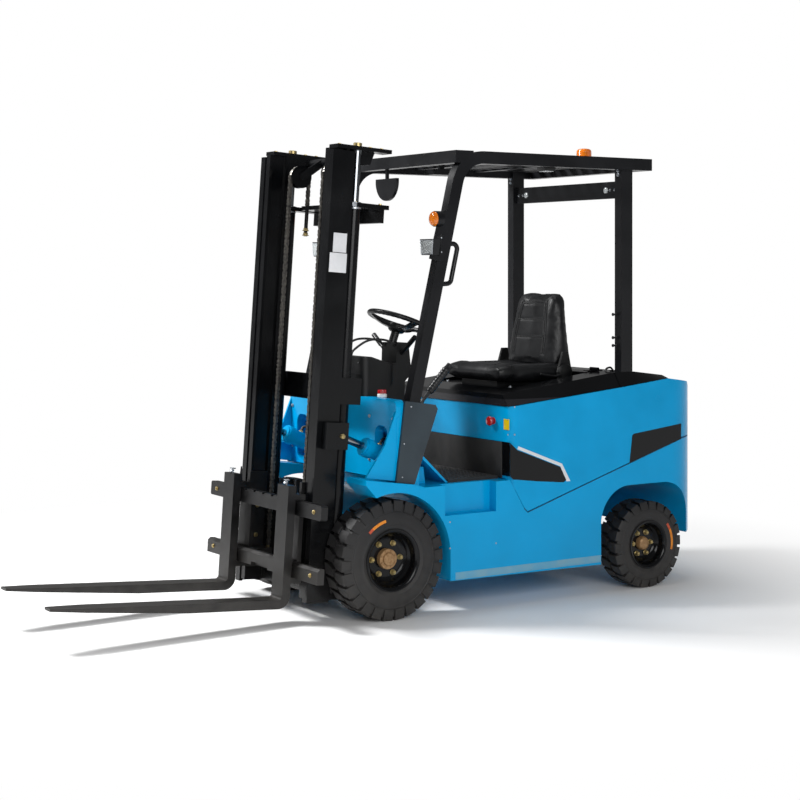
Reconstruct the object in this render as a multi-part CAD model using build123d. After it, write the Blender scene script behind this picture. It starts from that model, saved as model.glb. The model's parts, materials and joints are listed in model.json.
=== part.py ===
"""Counterbalance forklift truck, electric, 2 t class, with a two-stage lift mast.

Millimetres. +X points forward along the forks, +Y to the truck's left, +Z up.
Z = 0 is the floor. X is measured here from the front axle, and every node is
moved at the end so that the origin lies under the middle of the whole truck.
The mast is drawn upright and then leant back about its trunnion pins.
"""
import os
from math import atan2, cos, degrees, hypot, pi, radians, sin, tan

from build123d import *

# Outer mast rails, drawn upright
TILT_REST = 4.0
OUTER_FRONT_X = 338.0
OUTER_DEPTH = 114.0
OUTER_HALF_WIDTH = 343.0
OUTER_FLANGE = 39.0
OUTER_WEB = 12.0
OUTER_FLANGE_T = 18.0
OUTER_FOOT_Z = 72.0
OUTER_TOP_Z = 2105.0
OUTER_REAR_X = OUTER_FRONT_X - OUTER_DEPTH
MAST_PIN = (100.0, 300.0)
MAST_PIN_R = 22.0
TRUNNION_INSET = 109.0
TRUNNION_Y = OUTER_HALF_WIDTH - TRUNNION_INSET
TRUNNION_LUG = 20.0
TRUNNION_EAR = 14.0
TRUNNION_GAP = 11.0
PIN_PLAY = 0.5

# Inner mast rails
RAIL_CLEARANCE = 5.0
INNER_HALF_WIDTH = OUTER_HALF_WIDTH - OUTER_FLANGE - RAIL_CLEARANCE
INNER_WIDTH = 37.0
INNER_DEPTH = OUTER_DEPTH - 2 * RAIL_CLEARANCE
INNER_FRONT_X = OUTER_FRONT_X - RAIL_CLEARANCE
INNER_REAR_X = INNER_FRONT_X - INNER_DEPTH
INNER_INSIDE_Y = INNER_HALF_WIDTH - INNER_WIDTH
INNER_WEB = 9.0
INNER_FLANGE_T = 16.0
INNER_FOOT_Z = 86.0
RAIL_MIDDLE_X = OUTER_FRONT_X - OUTER_DEPTH / 2
HEAD_PLATE_Z = 2115.0
HEAD_PLATE_T = 18.0
HEAD_REAR_X = 26.0
HEAD_TUBE = (112.0, 2088.0)
HEAD_TUBE_R = 23.0
ROLLER_CLEARANCE = 2.0

# Lift cylinders and chains
LIFT_STROKE = 1500.0
LIFT_X = 190.0
LIFT_INSET = 40.0
LIFT_Y = OUTER_HALF_WIDTH - LIFT_INSET
LIFT_BARREL_R = 31.0
LIFT_BORE_R = 25.0
LIFT_ROD_R = 20.0
LIFT_FOOT_Z = 108.0
LIFT_GLAND_Z = 1880.0
LIFT_GLAND_H = 28.0
PISTON_H = 40.0
TIE_PLATE_Z = 1856.0
TIE_PLATE_T = 20.0
MIDDLE_TIE_Z = 960.0
MIDDLE_TIE_H = 120.0
FOOT_TIE_Z = 84.0
FOOT_TIE_H = 106.0
TIE_DEPTH = 24.0
TIE_X = 118.0
CHAIN_Y = 155.0
PULLEY_X = 225.0
PULLEY_Z = 2012.0
PULLEY_R = 50.0
PULLEY_WIDTH = 28.0
PULLEY_RIM = 5.0
CHAIN_WIDTH = 24.0
CHAIN_DEPTH = 14.0
CHAIN_FOOT_Z = 250.0
ANCHOR_ROD_R = 9.0
ANCHOR_ROD_FOOT_Z = 1732.0

# Carriage and forks
BAR_HALF_WIDTH = 533.0
BAR_BACK_X = 368.0
BAR_DEPTH = 34.0
BAR_NOTCH_PITCH = 86.0
BAR_NOTCH_WIDTH = 22.0
BAR_NOTCH_DEPTH = 8.0
CARRIAGE_PLATE = 22.0
CARRIAGE_ROLLER_ZS = (200.0, 540.0)
UPPER_BAR_Z = 460.0
UPPER_BAR_H = 66.0
LOWER_BAR_Z = 183.0
LOWER_BAR_H = 68.0
LOWER_BAR_DIP = 16.0
FORK_Y = 263.0
FORK_WIDTH = 100.0
FORK_THICKNESS = 40.0
FORK_FRONT_X = 447.0
FORK_LENGTH = 1070.0
FORK_TOP_Z = 590.0
FORK_BLADE_TOP_Z = 86.0
FORK_HEEL_R = 58.0
FORK_THROAT_R = 16.0
FORK_TAPER = 620.0
FORK_TIP_T = 11.0
FORK_TIP_WIDTH = 62.0
FORK_NOSE = 150.0
HOOK_HEIGHT = 26.0
HOOK_GRIP = 14.0
HOOK_GAP = 0.5
LOCK_PIN_R = 9.0
LOCK_PIN_H = 70.0

# Wheels and axles
WHEELBASE = 1484.0
MAST_TYRE_GAP = 10.0
FRONT_TYRE_R = 271.0
FRONT_TYRE_WIDTH = 160.0
FRONT_TYRE_OUTER_Y = OUTER_HALF_WIDTH + MAST_TYRE_GAP + FRONT_TYRE_WIDTH
FRONT_RIM_R = 128.0
FRONT_LUGS = 26
FRONT_NUT_CIRCLE_R = 76.0
FRONT_HUB_R = 46.0
REAR_TYRE_R = 214.0
REAR_TYRE_WIDTH = 140.0
REAR_RIM_R = 106.0
REAR_LUGS = 22
REAR_NUT_CIRCLE_R = 58.0
REAR_HUB_R = 34.0
LUG_DEPTH = 17.0
LUG_SHARE = 0.78
LUG_ROOT = 6.0
TYRE_SIDES = 26
TREAD_BASE = 4.0
SHOULDER_SHARE = 0.92
BEAD_SHARE = 0.88
SIDE_BAND = 8.0
RIM_WALL = 9.0
RIM_LIP = 13.0
RIM_LIP_PROUD = 5.0
RIM_LIP_T = 4.0
DISC_OUT_Y = 10.0
DISC_IN_Y = -8.0
DISC_STEP = 14.0
DISC_SLOPE = 26.0
WHEEL_NUTS = 6
NUT_R = 12.0
NUT_HEIGHT = 18.0
AXLE_TUBE_R = 62.0
AXLE_CASE_R = 120.0
AXLE_CASE_Y = (-70.0, 95.0)
AXLE_COVER_R = 95.0
AXLE_COVER_Y = (-120.0, 145.0)
AXLE_WHEEL_GAP = 4.0
KINGPIN_Y = 366.0
KINGPIN_OFFSET = 103.0
KINGPIN_R = 16.0
KINGPIN_REACH = 54.0
REAR_TYRE_OUTER_Y = KINGPIN_Y + KINGPIN_OFFSET + REAR_TYRE_WIDTH / 2
STEER_BEAM_HALF = 42.0
STEER_BEAM_WAIST = 26.0
STEER_FORK_Z = 42.0
STEER_FORK_T = 24.0
STEER_FORK_R = 30.0
STEER_CYLINDER_R = 34.0
STEER_CYLINDER_HALF = 150.0
STEER_KEEL_HALF = (60.0, 78.0)
STEER_KEEL_TOP = 84.0
KNUCKLE_R = 27.0
KNUCKLE_HALF = 27.0
STUB_R = 26.0
STEER_ARM = 70.0

# Body
BODY_HALF_WIDTH = 522.0
BODY_WALL = 40.0
SILL_Z = 150.0
STEP_Z = 450.0
STEP_FOOT_Y = 470.0
STEP_FRONT_X = -272.0
STEP_REAR_X = -560.0
FLOOR_Z = 590.0
FLOOR_HALF_WIDTH = 438.0
FLOOR_PLATE = 12.0
FENDER_TOP_Z = 640.0
FENDER_FRONT_X = 150.0
FENDER_LIP = 24.0
FRONT_ARCH_R = 303.0
MAST_BAY_GAP = 9.0
MAST_BAY_REAR_X = -60.0
REAR_ARCH_HALF = 292.0
REAR_ARCH_TOP_Z = 514.0
REAR_ARCH_CORNER_R = 181.0
BATTERY_FRONT_X = -640.0
SEAM_FOOT_X = -724.0
SEAM_FOOT_Z = 430.0
SEAM_BEND = 20.0
SEAM_REAR_Z = 727.0
SEAM_TAIL = 160.0
SEAM_GAP = 4.0
REAR_X = -1880.0
TAIL_FOOT_Z = 290.0
TAIL_UNDERCUT = (70.0, 40.0)
REAR_CORNER_R = 220.0
FRONT_CORNER_R = 46.0
WAIST_FRONT_Z = 930.0
WAIST_REAR_Z = 1026.0
TAIL_TOP_Z = 1030.0
TAIL_BEVEL = (90.0, 22.0, 110.0)
COMPARTMENT_REAR_X = -1168.0
COMPARTMENT_HALF_WIDTH = 440.0
COMPARTMENT_FLOOR_Z = 190.0
BATTERY_CLEARANCE = 12.0
BATTERY_TOP_Z = 880.0
UNDERFLOOR_HALF = 400.0
UNDERFLOOR_DEPTH = 50.0
KICK_PANEL_TOP_Z = 762.0
KICK_PANEL_INSET = 60.0
KICK_PANEL_T = 7.5

# Cowl, toe board and pillar feet
COWL_X = -50.0
COWL_THICKNESS = 44.0
COWL_TOP_Z = 985.0
COWL_FOOT_Z = 622.0
COWL_HALF_WIDTH = 488.0
COWL_CORNER_R = 30.0
COWL_FRONT_X = COWL_X + COWL_THICKNESS / 2
COWL_REAR_X = COWL_X - COWL_THICKNESS / 2
WING_THICKNESS = 12.0
WING_REACH = 60.0
SLOT_WIDTH = 110.0
SLOT_HEIGHT = 222.0
SLOT_Z = 752.0
SLOT_CORNER_R = 42.0
TOE_BOARD_REAR_X = -345.0
TOE_BOARD_TOP_Z = 850.0
TOE_BOARD_T = 20.0
COVER_THICKNESS = 13.5
COVER_GAP = 0.5

# Hood and seat
HOOD_REAR_X = -1320.0
HOOD_GAP = 5.0
HOOD_RIM_Z = 1068.0
HOOD_PAN_Z = 1002.0
HOOD_PAN_HALF = 330.0
HOOD_RIM_FRONT_Z = 985.0
HOOD_PLATE = 38.0
HOOD_SPLIT_Z = HOOD_PAN_Z - HOOD_PLATE
HOOD_BEVEL = 47.0
HOOD_SKIRT_HALF = 420.0
HOOD_FOOT_DROP = 28.0
HINGE_Z = 1078.0
HINGE_R = 8.0
HINGE_PIN_R = 4.0
HINGE_Y = 305.0
HINGE_LENGTH = 20.0
HINGE_LEAF = 46.0
HINGE_LEAF_T = 4.0
CAP_KNEE_X = -1445.0
CAP_REAR_X = -1630.0
CAP_TAIL_T = 14.0
SEAT_HALF_WIDTH = 245.0
CUSHION_FRONT_X = -795.0
CUSHION_REAR_X = -1235.0
CUSHION_Z = 1024.0
CUSHION_TOP_Z = 1098.0
CUSHION_CORNER_R = 55.0
PAD_EDGE_R = 24.0
BACK_FOOT_X = -1120.0
BACK_HINGE = (-1176.0, 1065.0)
BACK_TOP_X = -1190.0
BACK_TOP_Z = 1456.0
BACK_THICKNESS = 90.0
BACK_INSET = 30.0
SEAT_RAIL_HALF = 150.0
SEAT_BRACKET_T = 14.0

# Overhead guard
GUARD_TOP_Z = 2126.0
GUARD_BEAM = 58.0
GUARD_HALF_WIDTH = 490.0
GUARD_FRONT_LEAD = 40.0
GUARD_REAR_X = -1547.0
HEADER_DEPTH = 50.0
PILLAR_WIDTH = 50.0
PILLAR_FOOT = (-118.5, 930.0)
PILLAR_LEAN = 13.32
PILLAR_BEND_R = 150.0
POST_DEPTH = 72.0
POST_WIDTH = 50.0
POST_INSET = 20.0
POST_FRONT_X = -1364.0
GUARD_SLATS = 9
SLAT_WIDTH = 34.0
SLAT_HEIGHT = 22.0
SLAT_DROP = 4.0
SLAT_STRIP = 40.0
SLAT_STRIP_T = 8.0
STRIP_SHARES = (0.33, 0.67)
HANDLE_R = 11.0
HANDLE_ZS = (1505.0, 1690.0)
HANDLE_STAND_OFF = 62.0

# Lamps, beacon and mirror
HEAD_LAMP_Z = 1677.0
HEAD_LAMP_SIZE = (116.0, 73.0)
HEAD_LAMP_DEPTH = 36.0
HEAD_LAMP_TAPER = 14.0
TURN_LAMP_Z = 1806.0
TURN_LAMP_R = 36.0
TURN_LAMP_DEPTH = 36.0
BRACKET_T = 6.0
BRACKET_ZS = (1612.0, 1842.0)
BRACKET_REACH = 46.0
BRACKET_FRAME = 16.0
BRACKET_WINDOW_ZS = (1640.0, 1735.0)
LAMP_PANEL_DROP = 196.0
LAMP_PANEL_H = 84.0
LAMP_PANEL_T = 26.0
REAR_LAMP_SIZE = (150.0, 52.0)
REAR_LAMP_DEPTH = 26.0
REAR_LAMP_Y = 300.0
ROOF_LAMP_X = (-540.0, -670.0)
ROOF_LAMP_HALF = 40.0
ROOF_LAMP_H = 28.0
BEACON_X = -1510.0
BEACON_R = 40.0
BEACON_BASE_R = 46.0
BEACON_BASE_H = 16.0
BEACON_H = 77.0
BEACON_CROWN_R = 12.0
MIRROR_Y = -140.0
MIRROR_R = 95.0
MIRROR_FLAT = 14.0
MIRROR_T = 16.0
MIRROR_DROP = 46.0
MIRROR_STEM = 14.0

# Tilt cylinders
TILT_STAND_OFF = 20.0
TILT_Y = OUTER_HALF_WIDTH + TILT_STAND_OFF
TILT_BASE = (-215.0, 650.0)
TILT_EYE = (232.0, 820.0)
TILT_BARREL_R = 38.0
TILT_BORE_R = 30.0
TILT_GLAND_R = 44.0
TILT_GLAND_L = 46.0
TILT_ROD_R = 17.0
TILT_BARREL_LENGTH = 315.0
TILT_PISTON_X = 120.0
TILT_PISTON_L = 30.0
TILT_EYE_R = 28.0
TILT_NECK = 58.0
TILT_PIN_R = 14.0
EYE_PLAY = 3.0
EYE_WIDTH = 24.0
EYE_SIDE_GAP = 3.0
EAR_T = 12.0
BRACKET_PLATE_T = 10.0
BRACKET_HALF_H = 60.0

# Steering and controls
WHEEL_CENTRE = (-358.0, 1325.0)
WHEEL_RING_R = 148.0
WHEEL_TUBE_R = 12.0
WHEEL_LEAN = 20.0
WHEEL_DISH = 34.0
WHEEL_HUB_R = 40.0
WHEEL_SPOKES = (90.0, 210.0, 330.0)
SPOKE_WIDTH = 34.0
SPOKE_T = 12.0
COLUMN_R = 20.0
COLUMN_REACH = 112.0
DASH_FRONT_X = -20.0
DASH_REAR_X = -215.0
DASH_HALF_WIDTH = 200.0
DASH_TOP_Z = 1168.0
DASH_REAR_TOP_Z = 1122.0
DASH_CORNER_R = 46.0
PEDESTAL_HALF = 66.0
STALK_TIP = (185.0, 1254.0)
STALK_FOOT = (62.0, 1172.0)
STALK_X = -330.0
STALK_R = 9.0
STALK_GRIP_R = 12.0
LEVER_YS = (-236.0, -276.0, -316.0)
LEVER_X = (-118.0, -205.0)
LEVER_ZS = (1003.5, 1186.0)
LEVER_R = 7.0
KNOB_R = 16.0
LEVER_BOX_Z = 999.5
BRAKE_FOOT = (-186.0, 790.0)
BRAKE_KNEE = (-262.0, 965.0)
BRAKE_TIP = (-418.0, 1127.0)
BRAKE_Y = 350.0
BRAKE_R = 9.0
BRAKE_GRIP_R = 15.0
PEDAL = (-256.0, 744.0)
PEDAL_SIZE = (16.0, 60.0, 66.0)
PEDAL_Y = 165.0


def lean(point):
    """World place of an upright mast point (x, z) once the mast leans back."""
    angle = radians(TILT_REST)
    dx = point[0] - MAST_PIN[0]
    dz = point[1] - MAST_PIN[1]
    return (
        MAST_PIN[0] + dx * cos(angle) - dz * sin(angle),
        MAST_PIN[1] + dx * sin(angle) + dz * cos(angle),
    )


FORK_TIP_X = lean((FORK_FRONT_X + FORK_LENGTH, FORK_BLADE_TOP_Z - FORK_TIP_T))[0]
ORIGIN_SHIFT_X = -(FORK_TIP_X + REAR_X) / 2


def pillar_x(z):
    """Middle of the front pillar at height z."""
    return PILLAR_FOOT[0] - tan(radians(PILLAR_LEAN)) * (z - PILLAR_FOOT[1])


def pillar_front_x(z):
    """Front face of the front pillar at height z."""
    return pillar_x(z) + GUARD_BEAM / 2 / cos(radians(PILLAR_LEAN))


PILLAR_BEND_X = pillar_x(GUARD_TOP_Z - GUARD_BEAM / 2)
GUARD_FRONT_X = PILLAR_BEND_X + GUARD_FRONT_LEAD


def toe_board_z(x):
    """Top of the slanting toe board at x."""
    share = (x - TOE_BOARD_REAR_X) / (COWL_REAR_X + 2 - TOE_BOARD_REAR_X)
    return FLOOR_Z + share * (TOE_BOARD_TOP_Z - FLOOR_Z)


def box(x0, x1, y0, y1, z0, z1):
    """Box between two corners."""
    size = (abs(x1 - x0), abs(y1 - y0), abs(z1 - z0))
    return Pos((x0 + x1) / 2, (y0 + y1) / 2, (z0 + z1) / 2) * Box(*size)


def side_prism(points, y0, y1):
    """Outline of (x, z) points, extruded from y0 to y1."""
    outline = Polyline(*[(x, -z) for x, z in points], close=True)
    face = Plane((0, min(y0, y1), 0), x_dir=(1, 0, 0), z_dir=(0, 1, 0)) * make_face(outline)
    return extrude(face, abs(y1 - y0))


def plan_prism(points, z0, z1):
    """Outline of (x, y) points, extruded from z0 to z1."""
    face = Pos(0, 0, z0) * make_face(Polyline(*points, close=True))
    return extrude(face, z1 - z0)


def rod(start, end, radius):
    """Round bar between two points."""
    line = Line(start, end)
    return extrude(Plane(origin=start, z_dir=line % 0) * Circle(radius), line.length)


def cross_bar(x, z, radius, y0, y1):
    """Round bar along Y."""
    return rod((x, min(y0, y1), z), (x, max(y0, y1), z), radius)


def bent_rod(points, radius, bend):
    """Round bar along points, with rounded bends."""
    path = FilletPolyline(*points, radius=bend)
    return sweep(Plane(origin=path @ 0, z_dir=path % 0) * Circle(radius), path)


def both_sides(shape):
    """The shape and its mirror image across the middle plane."""
    return shape + mirror(shape, Plane.XZ)


def edge_at(shape, x, z):
    """Edge along Y that passes nearest to (x, z)."""
    return shape.edges().filter_by(Axis.Y).sort_by_distance((x, shape.center().Y, z))[0]


def on_mast(shape):
    """Lean an upright mast shape back about the trunnion pins."""
    turn = Pos(MAST_PIN[0], 0, MAST_PIN[1]) * Rot(0, -TILT_REST, 0)
    return turn * Pos(-MAST_PIN[0], 0, -MAST_PIN[1]) * shape


def tread_outline(radius, lugs, phase):
    """Closed outline of a lugged tread: raised blocks with straight gaps."""
    pitch = 2 * pi / lugs
    half_lug = pitch * LUG_SHARE / 2
    half_foot = (half_lug + pitch / 2) / 2
    points = []
    for lug in range(lugs):
        middle = half_lug - pi / 2 + (lug + phase) * pitch
        for r, turn in (
            (radius - LUG_DEPTH, -half_foot),
            (radius, -half_lug),
            (radius, half_lug),
            (radius - LUG_DEPTH, half_foot),
        ):
            points.append((r * cos(middle + turn), r * sin(middle + turn)))
    return points


def across_y(y):
    """Sketch plane across Y whose second direction is +Z."""
    return Plane((0, y, 0), x_dir=(1, 0, 0), z_dir=(0, -1, 0))


def facet_ring(profile, sides):
    """Solid ring about the Y axis in flat facets; profile is a closed list of (y, radius)."""
    def corner(point, step):
        turn = 2 * pi * step / sides
        return Vector(point[1] * cos(turn), point[0], point[1] * sin(turn))

    faces = []
    for here, there in zip(profile, profile[1:] + profile[:1]):
        for step in range(sides):
            corners = (corner(here, step), corner(here, step + 1),
                       corner(there, step + 1), corner(there, step))
            faces.append(Face(Wire.make_polygon(corners)))
    return Solid(Shell(faces))


def tyre(radius, width, rim_radius, lugs, side):
    """Solid-rubber tyre about the Y axis, in flat facets; its outer side faces side * Y."""
    half = width / 2
    tread_r = radius - LUG_DEPTH - TREAD_BASE
    middle = (rim_radius + tread_r) / 2
    flank = [
        (half * SHOULDER_SHARE, tread_r), (half, middle + SIDE_BAND),
        (half, middle - SIDE_BAND), (half * BEAD_SHARE, rim_radius / cos(pi / TYRE_SIDES)),
    ]
    body = facet_ring(flank + [(-y, r) for y, r in reversed(flank)], TYRE_SIDES)
    for turn, phase in ((1, 0.0), (-1, 0.5)):
        outline = Polyline(*tread_outline(radius, lugs, phase), close=True)
        bore = RegularPolygon(tread_r - LUG_ROOT, TYRE_SIDES)
        band = across_y(0) * (make_face(outline) - bore)
        body += extrude(band, -turn * half * SHOULDER_SHARE)
    return body if side > 0 else mirror(body, Plane.XZ)


def rim(radius, width, nut_circle, hub_r, side):
    """Pressed disc wheel with its hub and nuts, about the Y axis."""
    half = width / 2 * BEAD_SHARE
    lip_y = half + RIM_LIP_PROUD
    wall_r = radius - RIM_WALL
    profile = make_face(
        Polyline(
            (wall_r, -half),
            (radius - 0.5, -half),
            (radius - 0.5, half),
            (radius + RIM_LIP, lip_y),
            (radius + RIM_LIP, lip_y + RIM_LIP_T),
            (wall_r, lip_y),
            (wall_r - DISC_STEP, half * 0.45),
            (wall_r - DISC_SLOPE, DISC_OUT_Y),
            (hub_r, DISC_OUT_Y),
            (hub_r, DISC_IN_Y),
            (wall_r, DISC_IN_Y),
            close=True,
        )
    )
    disc = revolve(profile, Axis.Y)
    disc += cross_bar(0, 0, hub_r + 0.5, -half, half * 0.62)
    disc += cross_bar(0, 0, hub_r * 0.62, half * 0.6, half * 0.92)
    for step in range(WHEEL_NUTS):
        turn = 2 * pi * step / WHEEL_NUTS
        place = Pos(nut_circle * cos(turn), 0, nut_circle * sin(turn))
        nut = across_y(DISC_OUT_Y - 2) * RegularPolygon(NUT_R, 6)
        disc += place * extrude(nut, -NUT_HEIGHT - 2)
    return disc if side > 0 else mirror(disc, Plane.XZ)


def wheel_nodes():
    """Tyre and rim of the four wheels."""
    nodes = {}
    for name, side in (("left", 1), ("right", -1)):
        y = side * (FRONT_TYRE_OUTER_Y - FRONT_TYRE_WIDTH / 2)
        place = Pos(0, y, FRONT_TYRE_R)
        nodes[f"tyre_front_{name}"] = place * tyre(
            FRONT_TYRE_R, FRONT_TYRE_WIDTH, FRONT_RIM_R, FRONT_LUGS, side
        )
        nodes[f"rim_front_{name}"] = place * rim(
            FRONT_RIM_R, FRONT_TYRE_WIDTH, FRONT_NUT_CIRCLE_R, FRONT_HUB_R, side
        )
        y = side * (REAR_TYRE_OUTER_Y - REAR_TYRE_WIDTH / 2)
        place = Pos(-WHEELBASE, y, REAR_TYRE_R)
        nodes[f"tyre_rear_{name}"] = place * tyre(
            REAR_TYRE_R, REAR_TYRE_WIDTH, REAR_RIM_R, REAR_LUGS, side
        )
        nodes[f"rim_rear_{name}"] = place * rim(
            REAR_RIM_R, REAR_TYRE_WIDTH, REAR_NUT_CIRCLE_R, REAR_HUB_R, side
        )
    return nodes


def drive_axle():
    """Front axle case with its reduction housing and the trunnion ears for the mast."""
    bead_y = FRONT_TYRE_WIDTH / 2 * BEAD_SHARE
    end_y = FRONT_TYRE_OUTER_Y - FRONT_TYRE_WIDTH / 2 - bead_y - AXLE_WHEEL_GAP
    axle = cross_bar(0, FRONT_TYRE_R, AXLE_TUBE_R, -end_y, end_y)
    axle += cross_bar(0, FRONT_TYRE_R, AXLE_CASE_R, *AXLE_CASE_Y)
    axle += cross_bar(0, FRONT_TYRE_R, AXLE_COVER_R, *AXLE_COVER_Y)
    pin_x, pin_z = MAST_PIN
    reach = TRUNNION_LUG / 2 + TRUNNION_GAP
    for y in (TRUNNION_Y - reach - TRUNNION_EAR, TRUNNION_Y + reach):
        ear = side_prism(
            [(0, FRONT_TYRE_R - AXLE_TUBE_R + 8), (pin_x - 4, pin_z - MAST_PIN_R - 15),
             (pin_x - 4, pin_z + MAST_PIN_R + 15), (0, FRONT_TYRE_R + AXLE_TUBE_R - 4)],
            y, y + TRUNNION_EAR,
        )
        ear += cross_bar(pin_x, pin_z, MAST_PIN_R + 15, y, y + TRUNNION_EAR)
        axle += both_sides(ear)
    pin_reach = reach + TRUNNION_EAR
    return axle + both_sides(
        cross_bar(pin_x, pin_z, MAST_PIN_R, TRUNNION_Y - pin_reach, TRUNNION_Y + pin_reach)
    )


def steer_axle():
    """Rear axle beam with forked ends and the steering cylinder along it."""
    x = -WHEELBASE
    z = REAR_TYRE_R
    fork_y = KINGPIN_Y - 2 * STEER_FORK_R
    half = STEER_BEAM_HALF
    waist = STEER_BEAM_WAIST
    beam = box(x - half, x + half, -STEER_CYLINDER_HALF - 60, STEER_CYLINDER_HALF + 60,
               z - 46, z + 46)
    arm_y = STEER_CYLINDER_HALF + 60
    beam += both_sides(
        plan_prism([(x - half, arm_y), (x + half, arm_y), (x + waist, fork_y + 4),
                    (x - waist, fork_y + 4)], z - 46, z + 46)
    )
    for height in (-STEER_FORK_Z, STEER_FORK_Z):
        level = z + height - STEER_FORK_T / 2
        fork_end = box(x - waist, x + waist, fork_y, KINGPIN_Y, level, level + STEER_FORK_T)
        fork_end += Pos(x, KINGPIN_Y, z + height) * Cylinder(STEER_FORK_R, STEER_FORK_T)
        beam += both_sides(fork_end)
    beam += both_sides(Pos(x, KINGPIN_Y, z) * Cylinder(KINGPIN_R, 2 * KINGPIN_REACH))
    keel_x, keel_y = STEER_KEEL_HALF
    beam += box(x - keel_x, x + keel_x, -keel_y, keel_y, z + 40, z + STEER_KEEL_TOP)
    beam += cross_bar(x + half + STEER_CYLINDER_R - 4, z, STEER_CYLINDER_R,
                      -STEER_CYLINDER_HALF, STEER_CYLINDER_HALF)
    return beam + box(x + half - 4, x + half + 8, -60, 60, z - 30, z + 30)


def knuckle(side):
    """Steering knuckle: a bored block on the kingpin and the stub that carries the wheel."""
    x = -WHEELBASE
    z = REAR_TYRE_R
    block = Pos(x, KINGPIN_Y, z) * Cylinder(KNUCKLE_R, 2 * KNUCKLE_HALF)
    bead_y = REAR_TYRE_WIDTH / 2 * BEAD_SHARE
    stub_end = REAR_TYRE_OUTER_Y - REAR_TYRE_WIDTH / 2 - bead_y
    block += cross_bar(x, z, STUB_R, KINGPIN_Y + 12, stub_end - 1)
    block += box(x, x + STEER_ARM, KINGPIN_Y - 4, KINGPIN_Y + 16, z - 10, z + 10)
    block -= Pos(x, KINGPIN_Y, z) * Cylinder(KINGPIN_R + PIN_PLAY, 80)
    return block if side > 0 else mirror(block, Plane.XZ)


def body_plan(front_x):
    """Plan face of the body from front_x to the rounded tail."""
    face = Pos((front_x + REAR_X) / 2, 0) * Rectangle(front_x - REAR_X, 2 * BODY_HALF_WIDTH)
    return fillet(face.vertices().group_by(Axis.X)[0], REAR_CORNER_R)


def compartment(top_z):
    """Space of the battery, up to top_z."""
    return box(
        COMPARTMENT_REAR_X, BATTERY_FRONT_X - BODY_WALL,
        -COMPARTMENT_HALF_WIDTH, COMPARTMENT_HALF_WIDTH, COMPARTMENT_FLOOR_Z, top_z,
    )


def rear_arch():
    """Cutter for the rear wheel arches with rounded upper corners."""
    shape = box(-WHEELBASE - REAR_ARCH_HALF, -WHEELBASE + REAR_ARCH_HALF, -600, 600,
                -10, REAR_ARCH_TOP_Z)
    upper = shape.edges().filter_by(Axis.Y).group_by(Axis.Z)[-1]
    return fillet(upper, REAR_ARCH_CORNER_R)


def chassis_frame():
    """Lower body: sills, steps, fenders, floor pan and rear wheel arches in one weldment."""
    lower = [
        (FENDER_FRONT_X, FENDER_TOP_Z - FENDER_LIP),
        (FENDER_FRONT_X, FENDER_TOP_Z),
        (COWL_X - 60, FLOOR_Z + 14),
        (COWL_X - 110, FLOOR_Z - 2),
        (BATTERY_FRONT_X, FLOOR_Z - 2),
        (SEAM_FOOT_X, STEP_Z),
        (SEAM_FOOT_X - SEAM_BEND, SEAM_FOOT_Z),
        (REAR_X + SEAM_TAIL, SEAM_REAR_Z - SEAM_GAP),
        (REAR_X, SEAM_REAR_Z + 2 * SEAM_GAP),
        (REAR_X, TAIL_FOOT_Z),
        (REAR_X + TAIL_UNDERCUT[0], TAIL_FOOT_Z - TAIL_UNDERCUT[1]),
        (-WHEELBASE + REAR_ARCH_HALF, SILL_Z - 10),
        (-FRONT_ARCH_R + 20, SILL_Z),
    ]
    body = side_prism(lower, -BODY_HALF_WIDTH, BODY_HALF_WIDTH)
    body &= extrude(body_plan(FENDER_FRONT_X), 900)
    body -= cross_bar(0, FRONT_TYRE_R, FRONT_ARCH_R, -600, 600)
    body -= box(-FRONT_ARCH_R, 400, -600, 600, -10, FRONT_TYRE_R)
    bay = OUTER_HALF_WIDTH + MAST_BAY_GAP
    body -= box(MAST_BAY_REAR_X, 400, -bay, bay, 0, 800)
    keel_x, keel_y = STEER_KEEL_HALF
    body -= rear_arch()
    body += box(-WHEELBASE - keel_x, -WHEELBASE + keel_x, -keel_y, keel_y,
                REAR_TYRE_R + STEER_KEEL_TOP, REAR_ARCH_TOP_Z + 10)
    body -= compartment(900)
    body -= both_sides(box(STEP_FRONT_X, STEP_REAR_X, STEP_FOOT_Y, 700, STEP_Z, 700))
    body -= box(-FRONT_ARCH_R - 14, BATTERY_FRONT_X, -UNDERFLOOR_HALF, UNDERFLOOR_HALF,
                SILL_Z - 20, FLOOR_Z - UNDERFLOOR_DEPTH)
    return body


def counterweight():
    """Upper body round the battery and the cast weight behind it, with a rounded tail."""
    bevel_x, bevel_z, bevel_h = TAIL_BEVEL
    profile = [
        (BATTERY_FRONT_X, FLOOR_Z + SEAM_GAP),
        (BATTERY_FRONT_X, WAIST_FRONT_Z),
        (HOOD_REAR_X, WAIST_REAR_Z - 30),
        (CAP_REAR_X, TAIL_TOP_Z),
        (REAR_X + bevel_x, TAIL_TOP_Z - bevel_z),
        (REAR_X, TAIL_TOP_Z - bevel_h),
        (REAR_X, SEAM_REAR_Z + 4 * SEAM_GAP),
        (REAR_X + SEAM_TAIL, SEAM_REAR_Z + SEAM_GAP),
        (SEAM_FOOT_X - SEAM_BEND, SEAM_FOOT_Z + SEAM_GAP),
        (SEAM_FOOT_X, STEP_Z + SEAM_GAP),
    ]
    body = side_prism(profile, -BODY_HALF_WIDTH, BODY_HALF_WIDTH)
    plan = body_plan(BATTERY_FRONT_X)
    plan = fillet(plan.vertices().group_by(Axis.X)[-1], FRONT_CORNER_R)
    body &= extrude(plan, 1200)
    return body - compartment(1300)


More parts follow.
